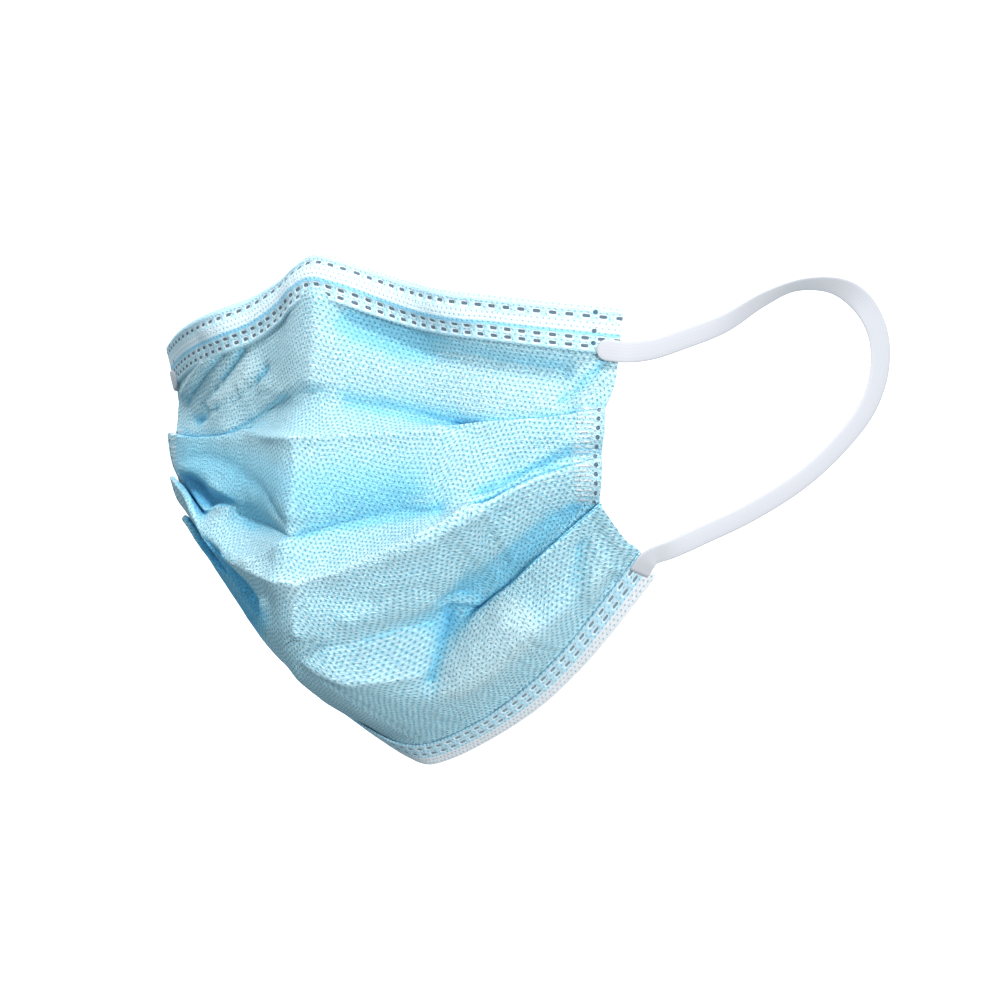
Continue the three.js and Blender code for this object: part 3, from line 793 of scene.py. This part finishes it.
def bonding_points(add, place, pitch):
    """Three crossed waves that peak at each point of a hexagonal field, from -1.5 up to 3."""
    reach = 4 * math.pi / (math.sqrt(3) * pitch)
    total = 0.0
    for turn in (-30, 30, 90):
        wave = (reach * math.cos(math.radians(turn)), reach * math.sin(math.radians(turn)), 0)
        phase = add("VectorMath", (place, wave), "Value", operation="DOT_PRODUCT")
        height = add("Math", (phase,), operation="COSINE")
        total = add("Math", (height, total), operation="ADD")
    return total


def laid_fibres(add, place, layer):
    """Noise drawn out into the strands of one layer of fibres."""
    width, length, turn = FIBRES[layer]
    laid = add("Mapping", {"Vector": place, "Rotation": (0, 0, math.radians(turn)),
                           "Scale": (1 / length, 1 / width, 1)})
    return add("TexNoise", {"Vector": laid, "Scale": 1.0, "Detail": 3.0})


def distance_from_rows(add, value, pitch):
    """Distance from a value to the nearest of evenly spaced rows."""
    step = add("Math", (add("Math", (value, pitch), operation="DIVIDE"),), operation="FRACT")
    off = add("Math", (add("Math", (step, 0.5), operation="SUBTRACT"),), operation="ABSOLUTE")
    return add("Math", (off, pitch), operation="MULTIPLY")


def within(add, value, low, high, soft):
    """1 from low to high and 0 outside, with soft edges."""
    above = add("MapRange", (value, low - soft, low + soft), interpolation_type="SMOOTHSTEP")
    below = add("MapRange", (value, high + soft, high - soft), interpolation_type="SMOOTHSTEP")
    return add("Math", (above, below), operation="MULTIPLY")


def tinted(add, colour, tints):
    """A colour turned towards each tint in turn, where its share is 1, by its strength."""
    for share, tint, strength in tints:
        weight = add("Math", (share, strength), operation="MULTIPLY")
        colour = add("Mix", {0: weight, 6: colour, 7: hex_colour(tint)}, 2, data_type="RGBA")
    return colour


def marked(add, height, marks):
    """A height with each mark added to it, by how far the mark stands up or is pressed in."""
    for mark, rise in marks:
        height = add("Math", (mark, rise, height), operation="MULTIPLY_ADD")
    return height


# Spunbonded polypropylene, dyed light blue: the small bonding points between its laid fibres are
# pressed thin and look grey. Glints on the fibres are a painted highlight, the upper panel and
# raised cloth are painted paler as painted light, and cloth shut in by other cloth in a fold or
# along a traced fold is painted a stronger blue as painted shade. The innermost ply is undyed.
def spunbond_blue(cloth):
    material, add = new_material("spunbond_polypropylene_blue", {"Roughness": 0.8, "Sheen Weight": 0.2})
    flat = add("UVMap", uv_map="cloth")
    drift = add("TexNoise", {"Vector": flat, "Scale": 0.35, "Detail": 1.0}, "Color")
    place = add("VectorMath", (drift, (0.5, 0.5, 0), flat), operation="MULTIPLY_ADD")
    points = bonding_points(add, place, cloth.dot_pitch / MM)
    # The painted shade of the folds, stored on the mesh; below 0 it is painted light.
    painted_fold_shade = add("Attribute", (), "Fac", attribute_name="painted_fold_shade")
    inner = add("Attribute", (), "Fac", attribute_name="inner")
    # The upper panel is painted paler, as painted light.
    lit_top = within(add, add("SeparateXYZ", (flat,), "Y"), -1.0, LIT_TOP_REACH, 6.0)
    # The last three ramps make painted light where that shade is below 0, painted shade above it, and a
    # deeper painted shade further on.
    ramps = [(points, 1.3, 2.5), (points, 0.2, -1.4), (laid_fibres(add, flat, "clouds"), 0.35, 0.7),
             (laid_fibres(add, flat, "panel"), 0.42, 0.66), (laid_fibres(add, flat, "crossing"), 0.5, 0.72),
             (painted_fold_shade, 0.0, -0.2), (painted_fold_shade, 0.02, 0.3), (painted_fold_shade, 0.2, 0.7)]
    dots, cells, cloudy, strand, painted_glint, painted_light, shaded, deep = (
        add("MapRange", ramp, interpolation_type="SMOOTHSTEP") for ramp in ramps)
    band, ticks, spots, rims = seal_welds(add, flat)
    # Among these tints the pale upper panel, the fibre glints and the lightening of raised cloth are painted
    # light, and the two blues of the folds are painted shade.
    colour = tinted(add, tuple(cloth.colour), [
        (cloudy, "#98DEF4", 0.5), (lit_top, "#CDF1F6", 0.45), (cells, "#E4FAFD", 0.7),
        (strand, "#76CEEC", 0.5), (painted_glint, "#F8FFFF", 0.7), (painted_light, "#DDF6FB", 0.6),
        (shaded, "#7FDCFA", 0.75), (deep, "#48BDF0", 0.85), (inner, "#F4F8FA", 0.85),
        (dots, "#5C9CB4", 0.72), (band, "#BDECFA", 0.5), (ticks, "#FFFFFF", 0.75),
        (rims, "#EAF9FD", 0.7), (spots, "#2F6C8B", 0.9)])
    height = marked(add, strand, [(dots, -1.1), (painted_glint, 0.8), (ticks, 1.6), (spots, -2.5)])
    return finish_material(material, colour, height, 1.0, 0.24)


def seal_welds(add, flat):
    """The side seals, welded through all layers: their band, ticks, round spots and the spots' rims."""
    across = add("Math", (add("SeparateXYZ", (flat,)),), operation="ABSOLUTE")
    inset = add("Math", (FLAT_WIDTH / 2, across), operation="SUBTRACT")
    up = add("SeparateXYZ", (add("TexCoord", (), "Object"),), "Z")
    height = add("Math", (up, MM), operation="DIVIDE")
    side = within(add, inset, -1.0, SEAL_WIDTH, 0.15)
    band = add("Math", (side, within(add, height, *SEAL_HEIGHTS, 0.4)), operation="MULTIPLY")
    between = distance_from_rows(add, height, SEAL_TICK_PITCH)
    bar = add("MapRange", (between, *TICK_FADE), interpolation_type="SMOOTHSTEP")
    lane = within(add, inset, SEAL_SPOT_INSET + 1.0, SEAL_WIDTH - 0.6, 0.25)
    worn = add("MapRange", (add("TexNoise", {"Vector": flat, "Scale": 0.9, "Detail": 1.0}), 0.32, 0.55))
    bar = add("Math", (bar, worn), operation="MULTIPLY")
    ticks = add("Math", (add("Math", (bar, lane), operation="MULTIPLY"), band), operation="MULTIPLY")
    along = distance_from_rows(add, height, SEAL_SPOT_PITCH)
    aside = add("Math", (inset, SEAL_SPOT_INSET), operation="SUBTRACT")
    offset = add("CombineXYZ", (along, aside, 0.0))
    far = add("VectorMath", (offset,), "Value", operation="LENGTH")
    near = add("MapRange", (far, *SPOT_FADE), interpolation_type="SMOOTHSTEP")
    rim = add("MapRange", (far, *RIM_FADE), interpolation_type="SMOOTHSTEP")
    spots = add("Math", (near, band), operation="MULTIPLY")
    rims = add("Math", (rim, band), operation="MULTIPLY")
    return band, ticks, spots, rims


# Undyed spunbond folded over the edge and welded in dashes: whiter than the panel, grey
# where the welds have pressed it thin, and paler in a rim round each weld. The blue band
# just below the nose strip on the upper hem is a painted shadow.
def spunbond_white(row, hem):
    material, add = new_material(row["material"], {"Roughness": 0.8, "Sheen Weight": 0.2})
    flat = add("UVMap", uv_map="cloth")
    across = add("SeparateXYZ", (flat,))
    up = add("SeparateXYZ", (flat,), "Y")
    points = bonding_points(add, flat, HEM_DOT_PITCH)
    dots = add("MapRange", (points, 1.1, 2.5), interpolation_type="SMOOTHSTEP")
    fibres = laid_fibres(add, flat, "binding")
    strand = add("MapRange", (fibres, 0.42, 0.68), interpolation_type="SMOOTHSTEP")
    nearest = FAR_OFF
    for rise in row["rows"]:
        off = add("Math", (add("Math", (up, rise), operation="SUBTRACT"),), operation="ABSOLUTE")
        nearest = add("Math", (off, nearest), operation="MINIMUM")
    along = distance_from_rows(add, across, hem.dash_pitch / MM)
    end = add("Math", (along, (DASH_LENGTH - DASH_WIDTH) / 2), operation="SUBTRACT")
    end = add("Math", (end, 0.0), operation="MAXIMUM")
    far = add("VectorMath", (add("CombineXYZ", (end, nearest, 0.0)),), "Value", operation="LENGTH")
    dashes = add("MapRange", (far, DASH_WIDTH * 0.62, DASH_WIDTH * 0.4), interpolation_type="SMOOTHSTEP")
    rims = add("MapRange", (far, DASH_WIDTH * 1.2, DASH_WIDTH * 0.7), interpolation_type="SMOOTHSTEP")
    aside = add("Math", (add("Math", (across,), operation="ABSOLUTE"), END_COLUMN), operation="SUBTRACT")
    for rise in row["ends"]:
        above = add("Math", (up, rise), operation="SUBTRACT")
        spot = add("VectorMath", (add("CombineXYZ", (aside, above, 0.0)),), "Value", operation="LENGTH")
        mark = add("MapRange", (spot, DASH_WIDTH * 0.8, DASH_WIDTH * 0.55), interpolation_type="SMOOTHSTEP")
        dashes = add("Math", (dashes, mark), operation="MAXIMUM")
    bands = [(within(add, up, low, high, 0.35), tint, share) for low, high, tint, share in row["bands"]]
    colour = tinted(add, tuple(hem.colour), [
        (strand, "#B4DCEB", 0.55), *bands, (dots, "#6FB0CC", 0.7), (rims, "#F6FDFF", 0.75),
        (dashes, row["weld"], 0.9)])
    height = marked(add, strand, [(dots, -0.8), (rims, -1.5), (dashes, -2.0)])
    return finish_material(material, colour, height, 0.9, 0.14)


# Knitted polyester and elastane: soft and matt, its fine ribs just seen along the strap.
def knitted_elastic(loops):
    material, add = new_material("knitted_elastic_white", {"Roughness": 0.75, "Sheen Weight": 0.3})
    flat = add("UVMap", uv_map="cloth")
    rib, stitch = (distance_from_rows(add, add("SeparateXYZ", (flat,), way), RIB_PITCH) for way in "XY")
    knit = add("Math", (stitch, 0.5, rib), operation="MULTIPLY_ADD")
    low = add("MapRange", (knit, RIB_PITCH / 2, 0.0))
    colour = tinted(add, tuple(loops.colour), [(low, "#C8C6CA", 0.35)])
    return finish_material(material, colour, knit, 0.35, 0.06)


# Polyethylene skin over a soft steel wire: smooth, slightly waxy.
def coated_wire():
    material, add = new_material("polyethylene_coated_wire", {"Roughness": 0.4, "IOR": 1.51})
    mottle = add("TexNoise", {"Vector": add("TexCoord", (), "Object"), "Scale": 260.0})
    colour = tinted(add, hex_colour("#F8F9FA"), [(mottle, "#E6EBEF", 0.7)])
    return finish_material(material, colour, mottle, 0.4, 0.02)


# Matt seamless paper, near white, with a glow of its own in place of a lit studio.
def paper_backdrop():
    return new_material("paper_backdrop", {
        "Roughness": 0.95, "Base Color": hex_colour("#FCFCFC"), "Emission Color": hex_colour("#FFFFFF"),
        "Emission Strength": SWEEP_GLOW})[0]


def hem_grid(row, spread, wall):
    """Rows of a folded hem: down one leg, round the edge and back, with its place on the hem."""
    shares = np.linspace(-1, 1, HEM_COLUMNS)
    at = hem_frame(*row["lines"], np.abs(shares))
    leg = np.linspace(0, 1, LEG_ROWS)
    centre = row["height"] - spread - wall / 2
    section = [(centre * t, spread) for t in leg]
    for angle in np.radians(np.linspace(EDGE_TURN, -EDGE_TURN, EDGE_ROWS)):
        section.append((centre + spread * math.cos(angle), spread * math.sin(angle)))
    section += [(centre * t, -spread) for t in leg[::-1]]
    rows = []
    for rise, out in section:
        lift = np.zeros(HEM_COLUMNS)
        if row["over_strip"] and out >= 0:
            lift = strip_relief(rise, shares)
        rows.append(at["root"] + at["rise"] * rise + at["out"] * (out + lift)[:, None])
    grid = mirrored(rows, shares)
    heights = np.array([np.full(HEM_COLUMNS, rise) for rise, out in section])
    if row["reversed"]:
        grid = grid[::-1]
        heights = heights[::-1]
    return grid, np.broadcast_to(shares * FLAT_WIDTH / 2, heights.shape), heights


def lengths_along(points):
    """How far each point lies along a path from its first point."""
    return path_lengths(points[:, None])[:, 0]


def strip_limit():
    """Share of the half width at which the nose strip ends."""
    shares = np.linspace(0, 1, STRIP_SAMPLES)
    at = hem_frame(*HEMS[0]["lines"], shares)
    lengths = lengths_along(at["root"] + at["rise"] * WIRE_HEIGHT)
    return float(np.interp(WIRE_LENGTH / 2, lengths, shares))


def strip_relief(rise, shares):
    """How far the nose strip lifts the leg of the hem that lies on it."""
    edge = smooth(WIRE_WIDTH / 2 + STRIP_MARGIN - abs(rise - WIRE_HEIGHT - STRIP_SHIFT), 0, STRIP_SLOPE)
    end = smooth(strip_limit() + STRIP_END_MARGIN - np.abs(shares), 0, STRIP_END_SLOPE)
    return STRIP_LIFT * edge * end


def smooth_curve(points, count):
    """Even points and tangents on a centripetal curve through the given ones."""
    points = [Vector(p) for p in points]
    points = [points[0] * 2 - points[1], *points, points[-1] * 2 - points[-2]]
    dense = []
    for k in range(1, len(points) - 2):
        near = points[k - 1:k + 3]
        knots = [0.0]
        for a, b in zip(near, near[1:]):
            knots.append(knots[-1] + math.sqrt((b - a).length))
        for i in range(CURVE_STEPS):
            t = knots[1] + (knots[2] - knots[1]) * i / CURVE_STEPS
            level = near
            for spans in CURVE_SPANS:
                weights = [(t - knots[low]) / (knots[high] - knots[low]) for low, high in spans]
                level = [level[m] * (1 - w) + level[m + 1] * w for m, w in enumerate(weights)]
            dense.append(level[0])
    dense = np.array([*dense, points[-2]])
    lengths = lengths_along(dense)
    at = np.linspace(0, lengths[-1], count)
    even = np.stack([np.interp(at, lengths, dense[:, k]) for k in range(3)], -1)
    return even, unit(np.gradient(even, axis=0)), at


def full_section(sides, wide_power, deep_power):
    """Shares of the half width and half depth round a section, fuller the lower the powers are."""
    angles = np.linspace(0, 2 * math.pi, sides, endpoint=False)
    return [np.sign(wave) * np.abs(wave)**power
            for wave, power in ((np.cos(angles), wide_power), (np.sin(angles), deep_power))]


def loop_seat(names, inset, rise, lift, overhang=0.0):
    """A place on a hem, in from its end or past it, and the way out of the cloth there."""
    share = np.array([1 - inset / (LINES[names[0]]["half"] * HALF_WIDTH)])
    at = hem_frame(*names, share)
    point = at["root"] + at["rise"] * rise + at["out"] * lift + at["along"] * overhang
    return point[0], at["out"][0]


def ear_loop(loop, width, thickness, lift):
    """Rings of one flat strap, from its weld on the upper hem to its weld on the lower hem."""
    upper, lower = (row["lines"] for row in HEMS)
    upper_past, upper_out = loop_seat(upper, 0, LOOP_UPPER_RISE, lift, loop["overhang"])
    lower_past, lower_out = loop_seat(lower, 0, LOOP_LOWER_RISE, lift, loop["overhang"])
    heading = math.radians(loop["heading"])
    droop = math.radians(loop["droop"])
    reach = np.array([math.cos(heading) * math.cos(droop), math.sin(heading) * math.cos(droop),
                      -math.sin(droop)])
    drop = lower_past - upper_past
    path = [loop_seat(upper, LOOP_WELD, LOOP_UPPER_RISE, lift)[0], upper_past]
    for down, out in zip(LOOP_PATH["down"], LOOP_PATH["out"]):
        path.append(upper_past + drop * down + reach * out * LOOP_REACH)
    path += [lower_past, loop_seat(lower, LOOP_WELD / 2, LOOP_LOWER_RISE, lift)[0]]
    middle, tangent, at = smooth_curve(path, LOOP_RINGS)
    plane = unit(np.cross(drop, reach))
    if plane @ upper_out < 0:
        plane = -plane
    near = 1 - smooth(at, LOOP_WELD, LOOP_TURN)
    far = 1 - smooth(at[-1] - at, LOOP_WELD, LOOP_TURN)
    facing = plane * (1 - near)[:, None] + upper_out * near[:, None]
    facing = facing * (1 - far)[:, None] + lower_out * far[:, None]
    facing = unit(facing - tangent * dot(facing, tangent))
    twist = np.radians(column(LOOP_PATH["twist"], at / at[-1], LOOP_PATH["at"]))[:, None]
    facing = facing * np.cos(twist) - np.cross(facing, tangent) * np.sin(twist)
    edge = unit(np.cross(facing, tangent))
    end = np.clip(at / (width / 2), 0, 1)
    half = column(LOOP_PATH["width"], at / at[-1], LOOP_PATH["at"]) * width / 2
    half = half * np.sqrt(np.maximum(1 - (1 - end)**2, LOOP_END))
    wide, deep = full_section(LOOP_SIDES, FULL_WIDE, FULL_DEEP)
    across = half[:, None] * wide
    through = (1 - LOOP_PINCH * np.maximum(near, far))[:, None] * thickness / 2 * deep
    rings = middle[:, None] + edge[:, None] * across[..., None] + facing[:, None] * through[..., None]
    rings[..., 0] *= loop["side"]
    if loop["side"] > 0:
        rings = rings[:, ::-1]
        across = across[:, ::-1]
    return rings, across, np.broadcast_to(at[:, None], across.shape)


class MASK_OT_pleated_panel(bpy.types.Operator):
    """Add the pleated cloth panel"""

    bl_idname = "mask.pleated_panel"
    bl_label = "Pleated Panel"

    def execute(self, context):
        cloth = context.scene.mask_cloth
        shares = np.linspace(-1, 1, COLUMNS)
        corners = panel_corners(np.abs(shares), cloth.layer_pitch / MM, cloth.open_pitch / MM)
        rows, names = rounded_rows(corners)
        grid, shade = wrinkled(mirrored(rows, shares), names)
        across = np.broadcast_to(shares * FLAT_WIDTH / 2, grid.shape[:2])
        mesh = wall_mesh("pleated_panel", grid, cloth.wall / MM, across, path_lengths(grid))
        # Painted shade: the share of each place that other cloth shuts off, plus the traced folds' shade,
        # which is painted light below 0.
        closed = (painted_occlusion(grid) + shade).reshape(-1)
        inner_side = np.repeat([0.0, 1.0], len(closed))
        for name, values in (("painted_fold_shade", np.tile(closed, 2) * (1 - inner_side)), ("inner", inner_side)):
            mesh.attributes.new(name, "FLOAT", "POINT").data.foreach_set("value", values.astype(np.float32))
        panel = add_piece(mesh, ["mask_body"], [spunbond_blue(cloth)])
        return {"FINISHED"}


class MASK_OT_hems(bpy.types.Operator):
    """Add the bound hems along the upper and lower edges"""

    bl_idname = "mask.hems"
    bl_label = "Hems"

    def execute(self, context):
        hem = context.scene.mask_hem
        for row in HEMS:
            grid, across, heights = hem_grid(row, hem.leg_gap / MM, hem.wall / MM)
            name = row["node"] + "_cloth"
            mesh = wall_mesh(name, grid, hem.wall / MM, across, heights)
            add_piece(mesh, [row["node"]], [spunbond_white(row, hem)])
        return {"FINISHED"}


class MASK_OT_nose_strip(bpy.types.Operator):
    """Add the bendable strip inside the upper hem"""

    bl_idname = "mask.nose_strip"
    bl_label = "Nose Strip"

    def execute(self, context):
        shares = strip_limit() * np.linspace(-1, 1, STRIP_RINGS)
        at = hem_frame(*HEMS[0]["lines"], np.abs(shares))
        wide, deep = full_section(STRIP_SIDES, FULL_DEEP, 1)
        across = np.tile(wide * WIRE_WIDTH / 2, (STRIP_RINGS, 1))
        through = np.tile(deep * STRIP_HALF_DEPTH, (STRIP_RINGS, 1))
        rings = (at["root"][:, None] + at["rise"][:, None] * (WIRE_HEIGHT + across)[..., None]
                 + at["out"][:, None] * through[..., None])
        rings[..., 0] *= np.where(shares < 0, -1, 1)[:, None]
        along = np.broadcast_to((shares * FLAT_WIDTH / 2)[:, None], across.shape)
        mesh = strap_mesh("nose_strip", rings, across, along)
        add_piece(mesh, ["nose_wire"], [coated_wire()])
        return {"FINISHED"}


class MASK_OT_ear_loops(bpy.types.Operator):
    """Add the flat elastic ear loops"""

    bl_idname = "mask.ear_loops"
    bl_label = "Ear Loops"

    def execute(self, context):
        loops = context.scene.mask_loops
        hem = context.scene.mask_hem
        material = knitted_elastic(loops)
        lift = (hem.leg_gap + hem.wall / 2 + loops.thickness * LOOP_STAND) / MM
        for loop in LOOPS:
            rings, across, along = ear_loop(loop, loops.width / MM, loops.thickness / MM, lift)
            mesh = strap_mesh(loop["name"] + "_elastic", rings, across, along)
            add_piece(mesh, [loop["name"]], [material])
        return {"FINISHED"}


def area_light(name, place, power):
    """A round lamp at a place in metres, turned to the mask."""
    data = bpy.data.lights.new(name, "AREA")
    data.shape = "DISK"
    data.size = LIGHT_SIZE
    data.energy = power
    light = bpy.data.objects.new(name, data)
    light.location = place
    light.rotation_euler = (Vector(LIGHT_AIM) - Vector(place)).to_track_quat("-Z", "Y").to_euler()
    bpy.context.scene.collection.objects.link(light)


def paper_sweep(level, side, drop):
    """A floor that bends up into a backdrop behind the mask, as the camera sees it."""
    profile = [(SWEEP_FRONT, 0.0), (SWEEP_BACK, 0.0)]
    for angle in range(10, 91, 10):
        turn = math.radians(angle)
        profile.append((SWEEP_BACK + SWEEP_ROUND * math.sin(turn), SWEEP_ROUND * (1 - math.cos(turn))))
    profile.append((SWEEP_BACK + SWEEP_ROUND, SWEEP_TOP))
    points = [tuple(level * away + side * aside + Vector((0, 0, height - drop)))
              for aside in (-SWEEP_HALF_WIDTH, SWEEP_HALF_WIDTH) for away, height in profile]
    count = len(profile)
    faces = [(k, count + k, count + k + 1, k + 1) for k in range(count - 1)]
    mesh = bpy.data.meshes.new("sweep")
    mesh.from_pydata(points, [], faces)
    mesh.polygons.foreach_set("use_smooth", [True] * len(mesh.polygons))
    mesh.materials.append(paper_backdrop())
    sweep = bpy.data.objects.new("sweep", mesh)
    bpy.context.scene.collection.objects.link(sweep)
    # The paper is seen but throws no light up at the mask, so that its underside stays dark.
    sweep.visible_diffuse = False
    sweep.visible_glossy = False
    sweep.visible_transmission = False
    return sweep


def soft_surround(strength):
    """Even light from all round, a little darker and greyer from below."""
    world = bpy.data.worlds.new("soft_surround")
    world.use_nodes = True
    tree = world.node_tree
    height = add_node(tree, "SeparateXYZ", (add_node(tree, "TexCoord", (), "Generated"),), "Z")
    above = add_node(tree, "MapRange", (height, -SKY_BLEND, SKY_BLEND), interpolation_type="SMOOTHSTEP")
    sky = add_node(tree, "Mix", {0: above, 6: hex_colour("#A8BAC2"), 7: hex_colour("#E2F4FF")}, 2,
                   data_type="RGBA")
    background = tree.nodes["Background"].inputs
    tree.links.new(sky, background["Color"])
    background["Strength"].default_value = strength
    return world


class MASK_OT_stage(bpy.types.Operator):
    """Add the floor, backdrop, lights and camera"""

    bl_idname = "mask.stage"
    bl_label = "Stage"

    def execute(self, context):
        stage = context.scene.mask_stage
        place, right, up, forward = camera_frame()
        level = Vector((forward.x, forward.y, 0)).normalized()
        side = Vector((right.x, right.y, 0)).normalized()
        paper_sweep(level, side, stage.drop)
        context.scene.world = soft_surround(stage.surround)
        for light in LIGHTS:
            area_light(light["name"], light["place"], stage.key * light["share"])
        context.scene.view_settings.view_transform = "Standard"

        data = bpy.data.cameras.new("camera")
        data.sensor_width = SENSOR_WIDTH
        data.lens = FOCAL_PIXELS / VIEW_SIZE * SENSOR_WIDTH
        camera = bpy.data.objects.new("camera", data)
        turned = Matrix((right, up, -forward)).transposed()
        camera.matrix_world = Matrix.Translation(place * MM) @ turned.to_4x4()
        bpy.context.scene.collection.objects.link(camera)
        context.scene.camera = camera
        return {"FINISHED"}


class MASK_PT_build(bpy.types.Panel):
    """Lists the pieces of the mask"""

    bl_idname = "MASK_PT_build"
    bl_label = "Face Mask"
    bl_space_type = "VIEW_3D"
    bl_region_type = "UI"
    bl_category = "Mask"

    def draw(self, context):
        layout = self.layout
        for name, group in GROUPS.items():
            box = layout.box()
            for setting in group.__annotations__:
                box.prop(getattr(context.scene, name), setting)
        for operator in OPERATORS:
            layout.operator(operator.bl_idname)


OPERATORS = (MASK_OT_stage, MASK_OT_pleated_panel, MASK_OT_hems, MASK_OT_nose_strip, MASK_OT_ear_loops)
GROUPS = {"mask_cloth": ClothSettings, "mask_hem": HemSettings, "mask_loops": LoopSettings,
          "mask_stage": StageSettings}


def register():
    """Add the settings, the operators and the panel to Blender."""
    for group in GROUPS.values():
        bpy.utils.register_class(group)
    for operator in OPERATORS:
        bpy.utils.register_class(operator)
    bpy.utils.register_class(MASK_PT_build)
    for name, group in GROUPS.items():
        setattr(bpy.types.Scene, name, bpy.props.PointerProperty(type=group))


def unregister():
    """Take them out again, in the opposite order."""
    for name in GROUPS:
        delattr(bpy.types.Scene, name)
    for made in (MASK_PT_build, *reversed(OPERATORS), *reversed(list(GROUPS.values()))):
        bpy.utils.unregister_class(made)


def main():
    """Build every piece."""
    register()
    bpy.ops.object.select_all(action="DESELECT")
    bpy.ops.mask.stage()
    bpy.ops.mask.pleated_panel()
    bpy.ops.mask.hems()
    bpy.ops.mask.nose_strip()
    bpy.ops.mask.ear_loops()


if __name__ == "__main__":
    main()
